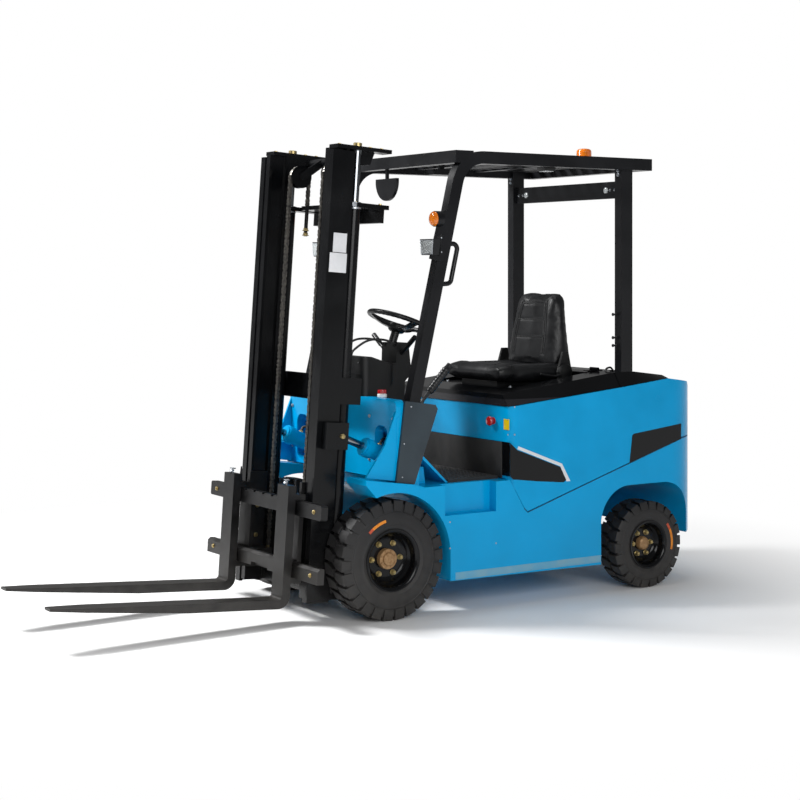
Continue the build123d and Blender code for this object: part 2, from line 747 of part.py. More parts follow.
def floor_panel():
    """Floor mat and the black kick panel on the front of the battery box."""
    mat = box(TOE_BOARD_REAR_X, BATTERY_FRONT_X + KICK_PANEL_T + 0.5, -FLOOR_HALF_WIDTH,
              FLOOR_HALF_WIDTH, FLOOR_Z - 2, FLOOR_Z + FLOOR_PLATE)
    half = BODY_HALF_WIDTH - KICK_PANEL_INSET
    return mat + box(BATTERY_FRONT_X + 0.5, BATTERY_FRONT_X + 0.5 + KICK_PANEL_T, -half, half,
                     FLOOR_Z + SEAM_GAP, KICK_PANEL_TOP_Z)


def front_cowl():
    """Blue bulkhead with the two rounded slots that the tilt cylinders pass through."""
    wall = box(COWL_REAR_X, COWL_FRONT_X, -COWL_HALF_WIDTH, COWL_HALF_WIDTH,
               COWL_FOOT_Z, COWL_TOP_Z)
    wall = fillet(wall.edges().filter_by(Axis.X).group_by(Axis.Z)[-1], COWL_CORNER_R)
    slot = Plane((COWL_REAR_X - 10, TILT_Y, SLOT_Z), x_dir=(0, 1, 0), z_dir=(1, 0, 0)) * (
        RectangleRounded(SLOT_WIDTH, SLOT_HEIGHT, SLOT_CORNER_R)
    )
    wall -= both_sides(extrude(slot, COWL_THICKNESS + 20))
    root_x = COWL_FRONT_X - 4
    wing = side_prism(
        [(root_x, COWL_FOOT_Z), (FENDER_FRONT_X - 20, FENDER_TOP_Z + 6),
         (COWL_FRONT_X + WING_REACH, COWL_TOP_Z - 200), (root_x, COWL_TOP_Z - 40)],
        COWL_HALF_WIDTH - WING_THICKNESS, COWL_HALF_WIDTH,
    )
    tower = side_prism(
        [(COWL_FRONT_X, COWL_FOOT_Z - 4), (COWL_X - 60, FLOOR_Z + 16), (COWL_X - 100, FLOOR_Z + 2),
         (COWL_X - 110, PILLAR_FOOT[1] - 12), (COWL_X - 26, PILLAR_FOOT[1] + 10),
         (COWL_FRONT_X, PILLAR_FOOT[1] - 30)],
        GUARD_HALF_WIDTH - PILLAR_WIDTH, GUARD_HALF_WIDTH,
    )
    wall += both_sides(wing) + both_sides(tower)
    end_x = COWL_REAR_X + 2
    board = side_prism(
        [(TOE_BOARD_REAR_X, FLOOR_Z), (TOE_BOARD_REAR_X + 12, FLOOR_Z - 2),
         (end_x, TOE_BOARD_TOP_Z - TOE_BOARD_T), (end_x, TOE_BOARD_TOP_Z)],
        -FLOOR_HALF_WIDTH, FLOOR_HALF_WIDTH,
    )
    return wall + board


def pillar_covers():
    """Slate plates over the feet of the front pillars, leaning as the pillars do."""
    inner_y = GUARD_HALF_WIDTH + COVER_GAP
    plate = side_prism(
        [(COWL_X + 30, COWL_FOOT_Z - 4), (COWL_X - 68, COWL_FOOT_Z - 18),
         (PILLAR_FOOT[0] - 126, PILLAR_FOOT[1] + 8), (PILLAR_FOOT[0] - 114, PILLAR_FOOT[1] + 28),
         (PILLAR_FOOT[0] + 50, PILLAR_FOOT[1] + 52)],
        inner_y, inner_y + COVER_THICKNESS,
    )
    return both_sides(plate)


def battery():
    """The battery as one plain block in its compartment."""
    gap = BATTERY_CLEARANCE
    return box(COMPARTMENT_REAR_X + gap, BATTERY_FRONT_X - BODY_WALL - gap,
               -COMPARTMENT_HALF_WIDTH + gap, COMPARTMENT_HALF_WIDTH - gap,
               COMPARTMENT_FLOOR_Z, BATTERY_TOP_Z)


def hood_section(x, rim_z, foot_z):
    """Cross-section of the hood at x: sloped shoulders up to a raised rim."""
    half = BODY_HALF_WIDTH - 4
    top = half - HOOD_BEVEL
    points = [(-half, foot_z), (-top, rim_z), (top, rim_z), (half, foot_z)]
    plane = Plane((x, 0, 0), x_dir=(0, 1, 0), z_dir=(1, 0, 0))
    return plane * make_face(Polyline(*points, close=True))


def hinge_knuckle(y, turn):
    """One hinge barrel from y on, with its leaf lying on the hood; turn picks the side."""
    leaf = box(HOOD_REAR_X, HOOD_REAR_X + turn * HINGE_LEAF, y, y + HINGE_LENGTH,
               HOOD_RIM_Z, HOOD_RIM_Z + HINGE_LEAF_T)
    return leaf + cross_bar(HOOD_REAR_X, HINGE_Z, HINGE_R, y, y + HINGE_LENGTH)


def hood_blank():
    """Outer form of the lid and its skirt: bevelled sides up to a raised rim."""
    front = hood_section(BATTERY_FRONT_X + 6, HOOD_RIM_FRONT_Z, WAIST_FRONT_Z + 2)
    rear = hood_section(HOOD_REAR_X + HOOD_GAP, HOOD_RIM_Z, WAIST_REAR_Z - HOOD_FOOT_DROP)
    return loft([front, rear])


def hood_skirt():
    """Open frame below the lid, which shuts down round the battery's top."""
    above = box(-2000, 0, -BODY_HALF_WIDTH, BODY_HALF_WIDTH, HOOD_SPLIT_Z, 1200)
    hollow = box(BATTERY_FRONT_X - 40, HOOD_REAR_X + 30, -HOOD_SKIRT_HALF, HOOD_SKIRT_HALF,
                 800, HOOD_SPLIT_Z)
    return hood_blank() - above - hollow


def battery_hood():
    """Black lid over the battery: bevelled sides, raised rims and a pan for the seat."""
    below = box(-2000, 0, -BODY_HALF_WIDTH, BODY_HALF_WIDTH, 800, HOOD_SPLIT_Z)
    lid = hood_blank() - below
    lid -= box(BATTERY_FRONT_X - 60, HOOD_REAR_X + 50, -HOOD_PAN_HALF, HOOD_PAN_HALF,
               HOOD_PAN_Z, 1200)
    for y in (HINGE_Y - HINGE_LENGTH, HINGE_Y + HINGE_LENGTH):
        barrel = hinge_knuckle(y, 1) - box(
            HOOD_REAR_X - 40, HOOD_REAR_X + HOOD_GAP, 0, 600, HOOD_RIM_Z - 1, HOOD_RIM_Z + 1.9
        )
        lid += both_sides(barrel)
    return lid - both_sides(
        cross_bar(HOOD_REAR_X, HINGE_Z, HINGE_PIN_R + PIN_PLAY, HINGE_Y - 40, HINGE_Y + 60)
    )


def hood_cap():
    """Fixed black cap behind the lid, under the rear posts, with the hinge pins."""
    share = (HOOD_REAR_X - CAP_KNEE_X) / (HOOD_REAR_X - CAP_REAR_X)
    front_foot = WAIST_REAR_Z - HOOD_FOOT_DROP
    rear_foot = TAIL_TOP_Z + 1
    knee_foot = front_foot + share * (rear_foot - front_foot)
    front = hood_section(HOOD_REAR_X, HOOD_RIM_Z, front_foot)
    knee = hood_section(CAP_KNEE_X, HOOD_RIM_Z, knee_foot)
    rear = hood_section(CAP_REAR_X, rear_foot + CAP_TAIL_T, rear_foot)
    cap = loft([front, knee]) + loft([knee, rear])
    middle = Pos(0, 1, 0) * hinge_knuckle(HINGE_Y, -1)
    middle &= box(-2000, 0, HINGE_Y + 1, HINGE_Y + HINGE_LENGTH - 1, 0, 2000)
    pin = cross_bar(HOOD_REAR_X, HINGE_Z, HINGE_PIN_R, HINGE_Y - HINGE_LENGTH,
                    HINGE_Y + 2 * HINGE_LENGTH)
    return cap + both_sides(middle + pin)


def seat_frame():
    """Seat rails, suspension box and the hinge plates that carry the back."""
    frame = box(CUSHION_FRONT_X - 42, CUSHION_REAR_X + 40, -SEAT_RAIL_HALF, SEAT_RAIL_HALF,
                HOOD_PAN_Z, CUSHION_Z - 1)
    hinge_x, hinge_z = BACK_HINGE
    bracket = side_prism(
        [(hinge_x + 44, CUSHION_Z - 8), (hinge_x - 44, CUSHION_Z - 8), (hinge_x - 44, hinge_z),
         (hinge_x - 22, hinge_z + 100), (hinge_x + 12, hinge_z + 100), (hinge_x + 44, hinge_z)],
        SEAT_HALF_WIDTH + 2, SEAT_HALF_WIDTH + 2 + SEAT_BRACKET_T,
    )
    frame += both_sides(bracket)
    return frame + box(CUSHION_REAR_X + 60, CUSHION_REAR_X + 30, -SEAT_HALF_WIDTH - 14,
                       SEAT_HALF_WIDTH + 14, HOOD_PAN_Z + 4, CUSHION_Z - 2)


def seat_cushion():
    """Seat cushion as a plain closed pad with rounded corners."""
    pad = box(CUSHION_FRONT_X, CUSHION_REAR_X, -SEAT_HALF_WIDTH, SEAT_HALF_WIDTH,
              CUSHION_Z, CUSHION_TOP_Z)
    pad = fillet(pad.edges().filter_by(Axis.Z), CUSHION_CORNER_R)
    return fillet(pad.faces().sort_by(Axis.Z)[-1].edges(), PAD_EDGE_R)


def seat_back():
    """Seat back as a plain closed pad, leaning back, with rounded upper corners."""
    foot_z = CUSHION_TOP_Z + 6
    half = SEAT_HALF_WIDTH - BACK_INSET
    pad = side_prism(
        [(BACK_FOOT_X, foot_z), (BACK_TOP_X, BACK_TOP_Z),
         (BACK_TOP_X - BACK_THICKNESS, BACK_TOP_Z - 12), (BACK_FOOT_X - 170, foot_z)],
        -half, half,
    )
    corners = pad.edges().filter_by(Axis.X, tolerance=10).group_by(Axis.Z)[-1]
    return fillet(corners, CUSHION_CORNER_R)


def steering_column():
    """Dash housing on the bulkhead, the column box behind it and the shaft to the wheel."""
    dash = side_prism(
        [(DASH_FRONT_X, COWL_TOP_Z), (DASH_FRONT_X, DASH_TOP_Z), (DASH_FRONT_X - 57, DASH_TOP_Z),
         (DASH_REAR_X, DASH_REAR_TOP_Z), (DASH_REAR_X, COWL_TOP_Z + 75),
         (DASH_REAR_X + 65, COWL_TOP_Z)],
        -DASH_HALF_WIDTH, DASH_HALF_WIDTH,
    )
    dash = fillet(dash.edges().filter_by(Axis.Z).group_by(Axis.X)[-1], DASH_CORNER_R)
    dash = fillet(dash.edges().filter_by(Axis.Z).group_by(Axis.X)[0], DASH_CORNER_R)
    foot_x = TOE_BOARD_REAR_X + 5
    box_top = WHEEL_CENTRE[1] - 103
    pedestal = side_prism(
        [(DASH_REAR_X + 20, toe_board_z(DASH_REAR_X + 20) + 1), (foot_x, toe_board_z(foot_x) + 1),
         (foot_x - 10, COWL_TOP_Z + 50), (foot_x - 48, COWL_TOP_Z + 90),
         (foot_x - 31, box_top), (foot_x + 37, box_top), (foot_x + 40, box_top - 96),
         (DASH_REAR_X + 20, DASH_REAR_TOP_Z - 20)],
        -PEDESTAL_HALF, PEDESTAL_HALF,
    )
    lever_box = box(COWL_REAR_X - 60, DASH_FRONT_X - 6, LEVER_YS[-1] - 20, -DASH_HALF_WIDTH - 2,
                    COWL_TOP_Z, LEVER_BOX_Z - 0.5)
    return dash + pedestal + lever_box + on_column(
        Pos(0, 0, -COLUMN_REACH) * extrude(Circle(COLUMN_R), COLUMN_REACH - WHEEL_DISH - 24)
    )


def on_column(shape):
    """Place a shape drawn about the handwheel's centre, with the shaft along Z."""
    return Pos(WHEEL_CENTRE[0], 0, WHEEL_CENTRE[1]) * Rot(0, -WHEEL_LEAN, 0) * shape


def steering_wheel():
    """Ring of flat facets, dished spokes and hub about the column axis."""
    section = Pos(WHEEL_RING_R, 0) * RegularPolygon(WHEEL_TUBE_R, 8)
    wheel = Plane.XZ * section
    wheel = revolve(wheel, Axis.Z)
    hub_foot = -WHEEL_DISH - 23
    wheel += Pos(0, 0, hub_foot) * extrude(Circle(WHEEL_HUB_R), WHEEL_DISH)
    for turn in WHEEL_SPOKES:
        line = Line((WHEEL_HUB_R - 8, 0, -WHEEL_DISH), (WHEEL_RING_R - 4, 0, -3))
        section = Plane(origin=line @ 0, x_dir=(0, 1, 0), z_dir=line % 0) * Rectangle(
            SPOKE_WIDTH, SPOKE_T
        )
        wheel += Rot(0, 0, turn) * extrude(section, line.length)
    return on_column(wheel)


def controls():
    """Lift and tilt levers, stalks, brake lever and the pedal."""
    parts = []
    foot_z, tip_z = LEVER_ZS
    for y in LEVER_YS:
        parts.append(
            rod((LEVER_X[0], y, foot_z), (LEVER_X[1], y, tip_z), LEVER_R)
            + Pos(LEVER_X[1], y, tip_z) * Sphere(KNOB_R)
        )
    foot = (STALK_X, PEDESTAL_HALF + 1, STALK_FOOT[1])
    tip = (STALK_X, STALK_TIP[0], STALK_TIP[1])
    grip = tuple(a + 0.45 * (b - a) for a, b in zip(foot, tip))
    stalk = rod(foot, tip, STALK_R) + rod(grip, tip, STALK_GRIP_R)
    stalk -= box(STALK_X - 40, STALK_X + 40, 0, PEDESTAL_HALF + 0.5, 1000, 1400)
    parts.append(both_sides(stalk))
    brake = [(x, BRAKE_Y, z) for x, z in (BRAKE_FOOT, BRAKE_KNEE, BRAKE_TIP)]
    grip_foot = tuple(a + 0.35 * (b - a) for a, b in zip(brake[1], brake[2]))
    left, right = BRAKE_FOOT[0] - 34, BRAKE_FOOT[0] + 26
    parts.append(
        bent_rod(brake, BRAKE_R, 40) + rod(grip_foot, brake[2], BRAKE_GRIP_R)
        + side_prism([(left, toe_board_z(left) + 0.5), (right, toe_board_z(right) + 0.5),
                      (BRAKE_FOOT[0] + 12, BRAKE_FOOT[1] + 20),
                      (BRAKE_FOOT[0] - 12, BRAKE_FOOT[1] + 20)], BRAKE_Y - 6, BRAKE_Y + 6)
    )
    depth, width, height = PEDAL_SIZE
    hanger_z = TOE_BOARD_TOP_Z + 30
    parts.append(
        box(PEDAL[0], PEDAL[0] - depth, PEDAL_Y - width / 2, PEDAL_Y + width / 2,
            PEDAL[1] - height / 2, PEDAL[1] + height / 2)
        + rod((COWL_REAR_X - 8, PEDAL_Y, hanger_z), (PEDAL[0] - 2, PEDAL_Y, PEDAL[1] + 10), 8)
        + box(COWL_REAR_X - 14, COWL_REAR_X - 0.5, PEDAL_Y - 18, PEDAL_Y + 18,
              hanger_z - 20, hanger_z + 20)
    )
    return sum(parts[1:], parts[0])


def guard_frame():
    """Overhead guard: swept front pillars running into the roof beams, posts and handles."""
    y_mid = GUARD_HALF_WIDTH - PILLAR_WIDTH / 2
    roof_z = GUARD_TOP_Z - GUARD_BEAM / 2
    foot_z = GUARD_TOP_Z - GUARD_BEAM
    path = FilletPolyline(
        (PILLAR_FOOT[0], y_mid, PILLAR_FOOT[1]),
        (PILLAR_BEND_X, y_mid, roof_z),
        (GUARD_REAR_X, y_mid, roof_z),
        radius=PILLAR_BEND_R,
    )
    section = Plane(origin=path @ 0, x_dir=(0, 1, 0), z_dir=path % 0) * Rectangle(
        PILLAR_WIDTH, GUARD_BEAM
    )
    side = sweep(section, path)
    side += box(GUARD_FRONT_X, PILLAR_BEND_X - 60, y_mid - 6, GUARD_HALF_WIDTH,
                foot_z, GUARD_TOP_Z)
    side += box(POST_FRONT_X, POST_FRONT_X - POST_DEPTH,
                GUARD_HALF_WIDTH - POST_INSET - POST_WIDTH, GUARD_HALF_WIDTH - POST_INSET,
                HOOD_RIM_Z, GUARD_TOP_Z - 10)
    low, high = HANDLE_ZS
    side += bent_rod(
        [(pillar_x(low), y_mid, low), (pillar_x(low) - HANDLE_STAND_OFF - 24, y_mid, low + 6),
         (pillar_x(high) - HANDLE_STAND_OFF - 24, y_mid, high + 6), (pillar_x(high), y_mid, high)],
        HANDLE_R, 24,
    )
    frame = both_sides(side)
    for x in (GUARD_FRONT_X, GUARD_REAR_X + HEADER_DEPTH):
        frame += box(x, x - HEADER_DEPTH, -GUARD_HALF_WIDTH + 10, GUARD_HALF_WIDTH - 10,
                     foot_z, GUARD_TOP_Z)
    return frame


def roof_slats():
    """Lengthwise bars of the roof, with the cross strips that they sit on."""
    inner = GUARD_HALF_WIDTH - PILLAR_WIDTH
    pitch = 2 * inner / (GUARD_SLATS + 1)
    x0 = GUARD_FRONT_X - HEADER_DEPTH
    x1 = GUARD_REAR_X + HEADER_DEPTH
    top = GUARD_TOP_Z - SLAT_DROP
    foot = top - SLAT_HEIGHT
    bars = []
    for share in STRIP_SHARES:
        x = x0 + (x1 - x0) * share
        bars.append(box(x - SLAT_STRIP / 2, x + SLAT_STRIP / 2, -inner, inner,
                        foot - SLAT_STRIP_T, foot))
    for index in range(GUARD_SLATS):
        y = -inner + (index + 1) * pitch
        bars.append(box(x0, x1, y - SLAT_WIDTH / 2, y + SLAT_WIDTH / 2, foot, top))
    return sum(bars[1:], bars[0])


def head_lamp():
    """Left work lamp on the front edge of its bracket."""
    width, height = HEAD_LAMP_SIZE
    back_x = pillar_front_x(HEAD_LAMP_Z) + BRACKET_REACH - BRACKET_FRAME / 2
    y = GUARD_HALF_WIDTH + BRACKET_T / 2
    outline = [
        (y - width / 2, HEAD_LAMP_Z + height / 2), (y + width / 2, HEAD_LAMP_Z + height / 2),
        (y + width / 2 - HEAD_LAMP_TAPER, HEAD_LAMP_Z - height / 2),
        (y - width / 2 + HEAD_LAMP_TAPER, HEAD_LAMP_Z - height / 2),
    ]
    face = Plane((back_x, 0, 0), x_dir=(0, 1, 0), z_dir=(1, 0, 0)) * make_face(
        Polyline(*outline, close=True)
    )
    return extrude(face, HEAD_LAMP_DEPTH)


def front_lamps():
    """Left lamp bracket with its window, the work lamp and the round turn lamp."""
    y = GUARD_HALF_WIDTH
    low, high = BRACKET_ZS
    sill, lintel = BRACKET_WINDOW_ZS
    plate = side_prism(
        [(pillar_front_x(low) - 26, low - 4), (pillar_front_x(low) + BRACKET_REACH, low + 12),
         (pillar_front_x(high) + BRACKET_REACH, high - 16), (pillar_front_x(high) + 14, high + 4),
         (pillar_front_x(high) - 26, high - 8)],
        y, y + BRACKET_T,
    )
    edge = BRACKET_REACH - BRACKET_FRAME
    plate -= side_prism(
        [(pillar_front_x(sill), sill - 4), (pillar_front_x(sill) + edge, sill + 4),
         (pillar_front_x(lintel) + edge, lintel - 6), (pillar_front_x(lintel), lintel + 4)],
        y - 1, y + BRACKET_T + 1,
    )
    turn_x = pillar_front_x(TURN_LAMP_Z) + BRACKET_REACH - TURN_LAMP_DEPTH / 2
    middle_y = y + BRACKET_T / 2
    turn = rod((turn_x, middle_y, TURN_LAMP_Z), (turn_x + TURN_LAMP_DEPTH, middle_y, TURN_LAMP_Z),
               TURN_LAMP_R)
    turn -= box(turn_x - 50, turn_x + 50, 0, y, TURN_LAMP_Z - 50, TURN_LAMP_Z + 50) & side_prism(
        [(pillar_front_x(1700), 1700), (pillar_front_x(1900), 1900),
         (pillar_front_x(1900) - 100, 1900), (pillar_front_x(1700) - 100, 1700)], 0, y
    )
    return plate + turn + head_lamp()


def lamps():
    """Lamps of the truck: front pair, the panel between the rear posts and the roof lamp."""
    half = GUARD_HALF_WIDTH - POST_INSET - POST_WIDTH
    top = GUARD_TOP_Z - LAMP_PANEL_DROP + LAMP_PANEL_H
    front_x = POST_FRONT_X - 20
    panel = plan_prism(
        [(front_x, -half), (front_x, half), (front_x - LAMP_PANEL_T, half),
         (front_x - LAMP_PANEL_T, -half)], top - LAMP_PANEL_H, top,
    )
    width, height = REAR_LAMP_SIZE
    back_x = front_x - LAMP_PANEL_T
    middle = top - LAMP_PANEL_H / 2
    panel += both_sides(
        box(back_x, back_x - REAR_LAMP_DEPTH, REAR_LAMP_Y - width / 2, REAR_LAMP_Y + width / 2,
            middle - height / 2, middle + height / 2)
    )
    roof_foot = GUARD_TOP_Z - SLAT_DROP - SLAT_HEIGHT
    lamp_top = roof_foot - SLAT_STRIP_T
    roof = box(ROOF_LAMP_X[0], ROOF_LAMP_X[1], -ROOF_LAMP_HALF, ROOF_LAMP_HALF,
               lamp_top - 24 - ROOF_LAMP_H, lamp_top - 24)
    stem_x = sum(ROOF_LAMP_X) / 2
    roof += box(stem_x - 12, stem_x + 12, -12, 12, lamp_top - 26, roof_foot)
    return both_sides(front_lamps()) + panel + roof


def beacon():
    """Amber beacon on the roof."""
    base = Pos(BEACON_X, 0, GUARD_TOP_Z) * extrude(Circle(BEACON_BASE_R), BEACON_BASE_H)
    foot = GUARD_TOP_Z + BEACON_BASE_H
    dome = Pos(BEACON_X, 0, foot) * extrude(Circle(BEACON_R), BEACON_H - BEACON_BASE_H + 5)
    return base + fillet(dome.faces().sort_by(Axis.Z)[-1].edges(), BEACON_CROWN_R)


def mirror_fan():
    """Wide rear-view mirror hung under the front of the roof, flat along its top."""
    x = GUARD_FRONT_X - HEADER_DEPTH / 2
    top = GUARD_TOP_Z - GUARD_BEAM
    centre_z = top - MIRROR_DROP - MIRROR_FLAT
    disc = Circle(MIRROR_R) & Pos(0, MIRROR_FLAT - MIRROR_R) * Rectangle(
        2 * MIRROR_R, 2 * MIRROR_R
    )
    plane = Plane((x - MIRROR_T / 2, MIRROR_Y, centre_z), x_dir=(0, 1, 0), z_dir=(1, 0, 0))
    stem = box(x - MIRROR_STEM / 2, x + MIRROR_STEM / 2, MIRROR_Y - MIRROR_STEM / 2,
               MIRROR_Y + MIRROR_STEM / 2, centre_z, top)
    return extrude(plane * disc, MIRROR_T) + stem


def outer_rails():
    """Outer mast rails: two channels open towards the middle, with their head rollers."""
    y1 = OUTER_HALF_WIDTH
    rail = box(OUTER_REAR_X, OUTER_FRONT_X, y1 - OUTER_FLANGE, y1, OUTER_FOOT_Z, OUTER_TOP_Z)
    rail -= box(OUTER_REAR_X + OUTER_FLANGE_T, OUTER_FRONT_X - OUTER_FLANGE_T, 0, y1 - OUTER_WEB,
                0, OUTER_TOP_Z + 10)
    roller_r = INNER_DEPTH / 2 - INNER_FLANGE_T - ROLLER_CLEARANCE
    web_y = INNER_HALF_WIDTH - (INNER_WIDTH - INNER_WEB) / 2
    rail += cross_bar(RAIL_MIDDLE_X, OUTER_TOP_Z - 60, roller_r, web_y + RAIL_CLEARANCE,
                      y1 - OUTER_WEB + 2)
    return both_sides(rail)


def barrel_space():
    """Room for the left lift barrel in whatever stands round it."""
    return Pos(LIFT_X, LIFT_Y, LIFT_FOOT_Z) * extrude(Circle(LIFT_BARREL_R + 0.3), 2400)


def foot_tie():
    """Lower tie of the outer mast with the cylinder seats and the trunnion lugs."""
    y_in = OUTER_HALF_WIDTH - OUTER_FLANGE
    beam_x = TIE_X + 12
    low, high = TRUNNION_Y - TRUNNION_LUG / 2, TRUNNION_Y + TRUNNION_LUG / 2
    pin_x, pin_z = MAST_PIN
    side = box(beam_x, OUTER_REAR_X, LIFT_Y - 42, OUTER_HALF_WIDTH, FOOT_TIE_Z, LIFT_FOOT_Z)
    side += Pos(LIFT_X, LIFT_Y, FOOT_TIE_Z) * extrude(Circle(LIFT_BARREL_R + 6), TIE_DEPTH)
    side += side_prism(
        [(OUTER_REAR_X, 120), (beam_x + 20, 130), (pin_x - 12, pin_z - 30),
         (pin_x - 12, pin_z + 30), (OUTER_REAR_X, 430)], low, high,
    )
    side += box(OUTER_REAR_X - 28, OUTER_REAR_X, low, y_in + 20, 120, 420)
    side += cross_bar(pin_x, pin_z, MAST_PIN_R + 18, low, high)
    side -= cross_bar(pin_x, pin_z, MAST_PIN_R + PIN_PLAY, 100, 340)
    side -= barrel_space()
    side &= box(-400, OUTER_REAR_X, -10, 600, 0, 900)
    beam = box(beam_x, beam_x + TIE_DEPTH, -LIFT_Y + 36, LIFT_Y - 36, FOOT_TIE_Z,
               FOOT_TIE_Z + FOOT_TIE_H)
    return both_sides(side) + beam


def middle_tie():
    """Middle tie of the outer mast, carried on plates behind the rails."""
    top = MIDDLE_TIE_Z + MIDDLE_TIE_H
    beam = box(TIE_X, TIE_X + TIE_DEPTH, -OUTER_HALF_WIDTH, OUTER_HALF_WIDTH, MIDDLE_TIE_Z, top)
    plate = box(TIE_X, OUTER_REAR_X, LIFT_Y + LIFT_BARREL_R + 2, OUTER_HALF_WIDTH,
                MIDDLE_TIE_Z, top)
    return beam + both_sides(plate)


def top_tie():
    """Upper tie plate of the outer mast with its beam and the chain anchor rods."""
    top = TIE_PLATE_Z + TIE_PLATE_T
    side = box(HEAD_REAR_X, OUTER_REAR_X, LIFT_Y - 44, OUTER_HALF_WIDTH, TIE_PLATE_Z, top)
    side -= barrel_space()
    anchor_x = PULLEY_X - PULLEY_R
    side += rod((anchor_x, CHAIN_Y, ANCHOR_ROD_FOOT_Z), (anchor_x, CHAIN_Y, TIE_PLATE_Z + 2),
                ANCHOR_ROD_R)
    tie = both_sides(side)
    tie += box(HEAD_REAR_X, HEAD_REAR_X + TIE_DEPTH, -LIFT_Y, LIFT_Y, TIE_PLATE_Z - 60, top - 10)
    return tie + box(HEAD_REAR_X, anchor_x + 14, -CHAIN_Y - 30, CHAIN_Y + 30, TIE_PLATE_Z, top)


def tilt_bracket():
    """Left bracket on the outer rail's side with the pin of the tilt cylinder's rod."""
    pin_x, pin_z = TILT_EYE
    outer_y = TILT_Y + EYE_WIDTH / 2 + 2 * EYE_SIDE_GAP
    far_y = outer_y + BRACKET_PLATE_T
    low, high = pin_z - BRACKET_HALF_H, pin_z + BRACKET_HALF_H
    bracket = box(pin_x + 40, OUTER_FRONT_X - 26, OUTER_HALF_WIDTH, far_y, low, high)
    bracket += box(pin_x - 32, pin_x + 44, outer_y, far_y, low, high)
    return bracket + cross_bar(pin_x, pin_z, TILT_PIN_R, OUTER_HALF_WIDTH, far_y)


def outer_ties():
    """Cross ties, trunnion lugs and tilt brackets that join the outer rails."""
    return foot_tie() + middle_tie() + top_tie() + both_sides(tilt_bracket())


def inner_rails():
    """Inner mast rails: two I-sections beside the outer channels, with their foot rollers."""
    x0, x1 = INNER_REAR_X, INNER_FRONT_X
    y0, y1 = INNER_INSIDE_Y, INNER_HALF_WIDTH
    web_y = (y0 + y1) / 2
    rail = box(x0, x1, y0, y1, INNER_FOOT_Z, HEAD_PLATE_Z)
    for face_y, far_y in ((web_y + INNER_WEB / 2, y1 + 5), (web_y - INNER_WEB / 2, y0 - 5)):
        rail -= box(x0 + INNER_FLANGE_T, x1 - INNER_FLANGE_T, face_y, far_y, 0, HEAD_PLATE_Z + 5)
    roller_r = OUTER_DEPTH / 2 - OUTER_FLANGE_T - ROLLER_CLEARANCE
    rail += cross_bar(RAIL_MIDDLE_X, INNER_FOOT_Z + 60, roller_r, web_y,
                      OUTER_HALF_WIDTH - OUTER_WEB - RAIL_CLEARANCE)
    return both_sides(rail)


def inner_ties():
    """Head frame over the inner rails with its cross tube and pulley arms, and the foot tie."""
    y0 = INNER_INSIDE_Y
    tube_x, tube_z = HEAD_TUBE
    side = box(HEAD_REAR_X, INNER_FRONT_X - 18, y0, OUTER_HALF_WIDTH - 3, HEAD_PLATE_Z,
               HEAD_PLATE_Z + HEAD_PLATE_T)
    side += side_prism(
        [(INNER_REAR_X, HEAD_PLATE_Z), (INNER_REAR_X, tube_z - 48), (tube_x - 12, tube_z - 28),
         (tube_x - 32, HEAD_PLATE_Z)], y0, y0 + 14,
    )
    side += side_prism(
        [(PULLEY_X - 14, PULLEY_Z - 14), (PULLEY_X + 14, PULLEY_Z - 14),
         (PULLEY_X + 14, PULLEY_Z + 14), (tube_x + 18, tube_z + 16), (tube_x - 18, tube_z)],
        CHAIN_Y - 32, CHAIN_Y - 22,
    )
    frame = both_sides(side)
    frame += cross_bar(tube_x, tube_z, HEAD_TUBE_R, -y0 - 4, y0 + 4)
    return frame + box(INNER_REAR_X, INNER_REAR_X + 12, -y0, y0, INNER_FOOT_Z + 4,
                       INNER_FOOT_Z + 110)


def lift_barrels():
    """Lift cylinder barrels, open at the gland for the rods."""
    place = Pos(LIFT_X, LIFT_Y, 0)
    height = LIFT_GLAND_Z - LIFT_FOOT_Z
    barrel = place * Pos(0, 0, LIFT_FOOT_Z) * extrude(Circle(LIFT_BARREL_R), height)
    barrel -= place * Pos(0, 0, LIFT_FOOT_Z + 22) * extrude(
        Circle(LIFT_BORE_R), height - 22 - LIFT_GLAND_H
    )
    barrel -= place * Pos(0, 0, LIFT_FOOT_Z + 92) * extrude(Circle(LIFT_ROD_R + PIN_PLAY), height)
    return both_sides(barrel)


def lift_rods():
    """Lift cylinder rods, bolted under the inner mast's head plates."""
    foot = LIFT_GLAND_Z - LIFT_STROKE - 2 * PISTON_H
    place = Pos(LIFT_X, LIFT_Y, foot)
    rods = place * extrude(Circle(LIFT_ROD_R), HEAD_PLATE_Z - foot)
    rods += place * extrude(Circle(LIFT_BORE_R - PIN_PLAY), PISTON_H)
    return both_sides(rods)


def pulleys():
    """Chain pulleys on their stub axles."""
    half = PULLEY_WIDTH / 2
    groove_r = PULLEY_R - CHAIN_DEPTH / 2 - 0.5
    wheel = cross_bar(PULLEY_X, PULLEY_Z, groove_r, CHAIN_Y - half, CHAIN_Y + half)
    for y in (CHAIN_Y - half - PULLEY_RIM, CHAIN_Y + half):
        wheel += cross_bar(PULLEY_X, PULLEY_Z, PULLEY_R + 4, y, y + PULLEY_RIM)
    wheel += cross_bar(PULLEY_X, PULLEY_Z, 14, CHAIN_Y - 22, CHAIN_Y + 26)
    return both_sides(wheel)


def chain_strand(x, foot_z):
    """One stretch of both lift chains as a strap, from foot_z up to the pulleys."""
    strand = box(x - CHAIN_DEPTH / 2, x + CHAIN_DEPTH / 2, CHAIN_Y - CHAIN_WIDTH / 2,
                 CHAIN_Y + CHAIN_WIDTH / 2, foot_z, PULLEY_Z)
    return both_sides(strand)


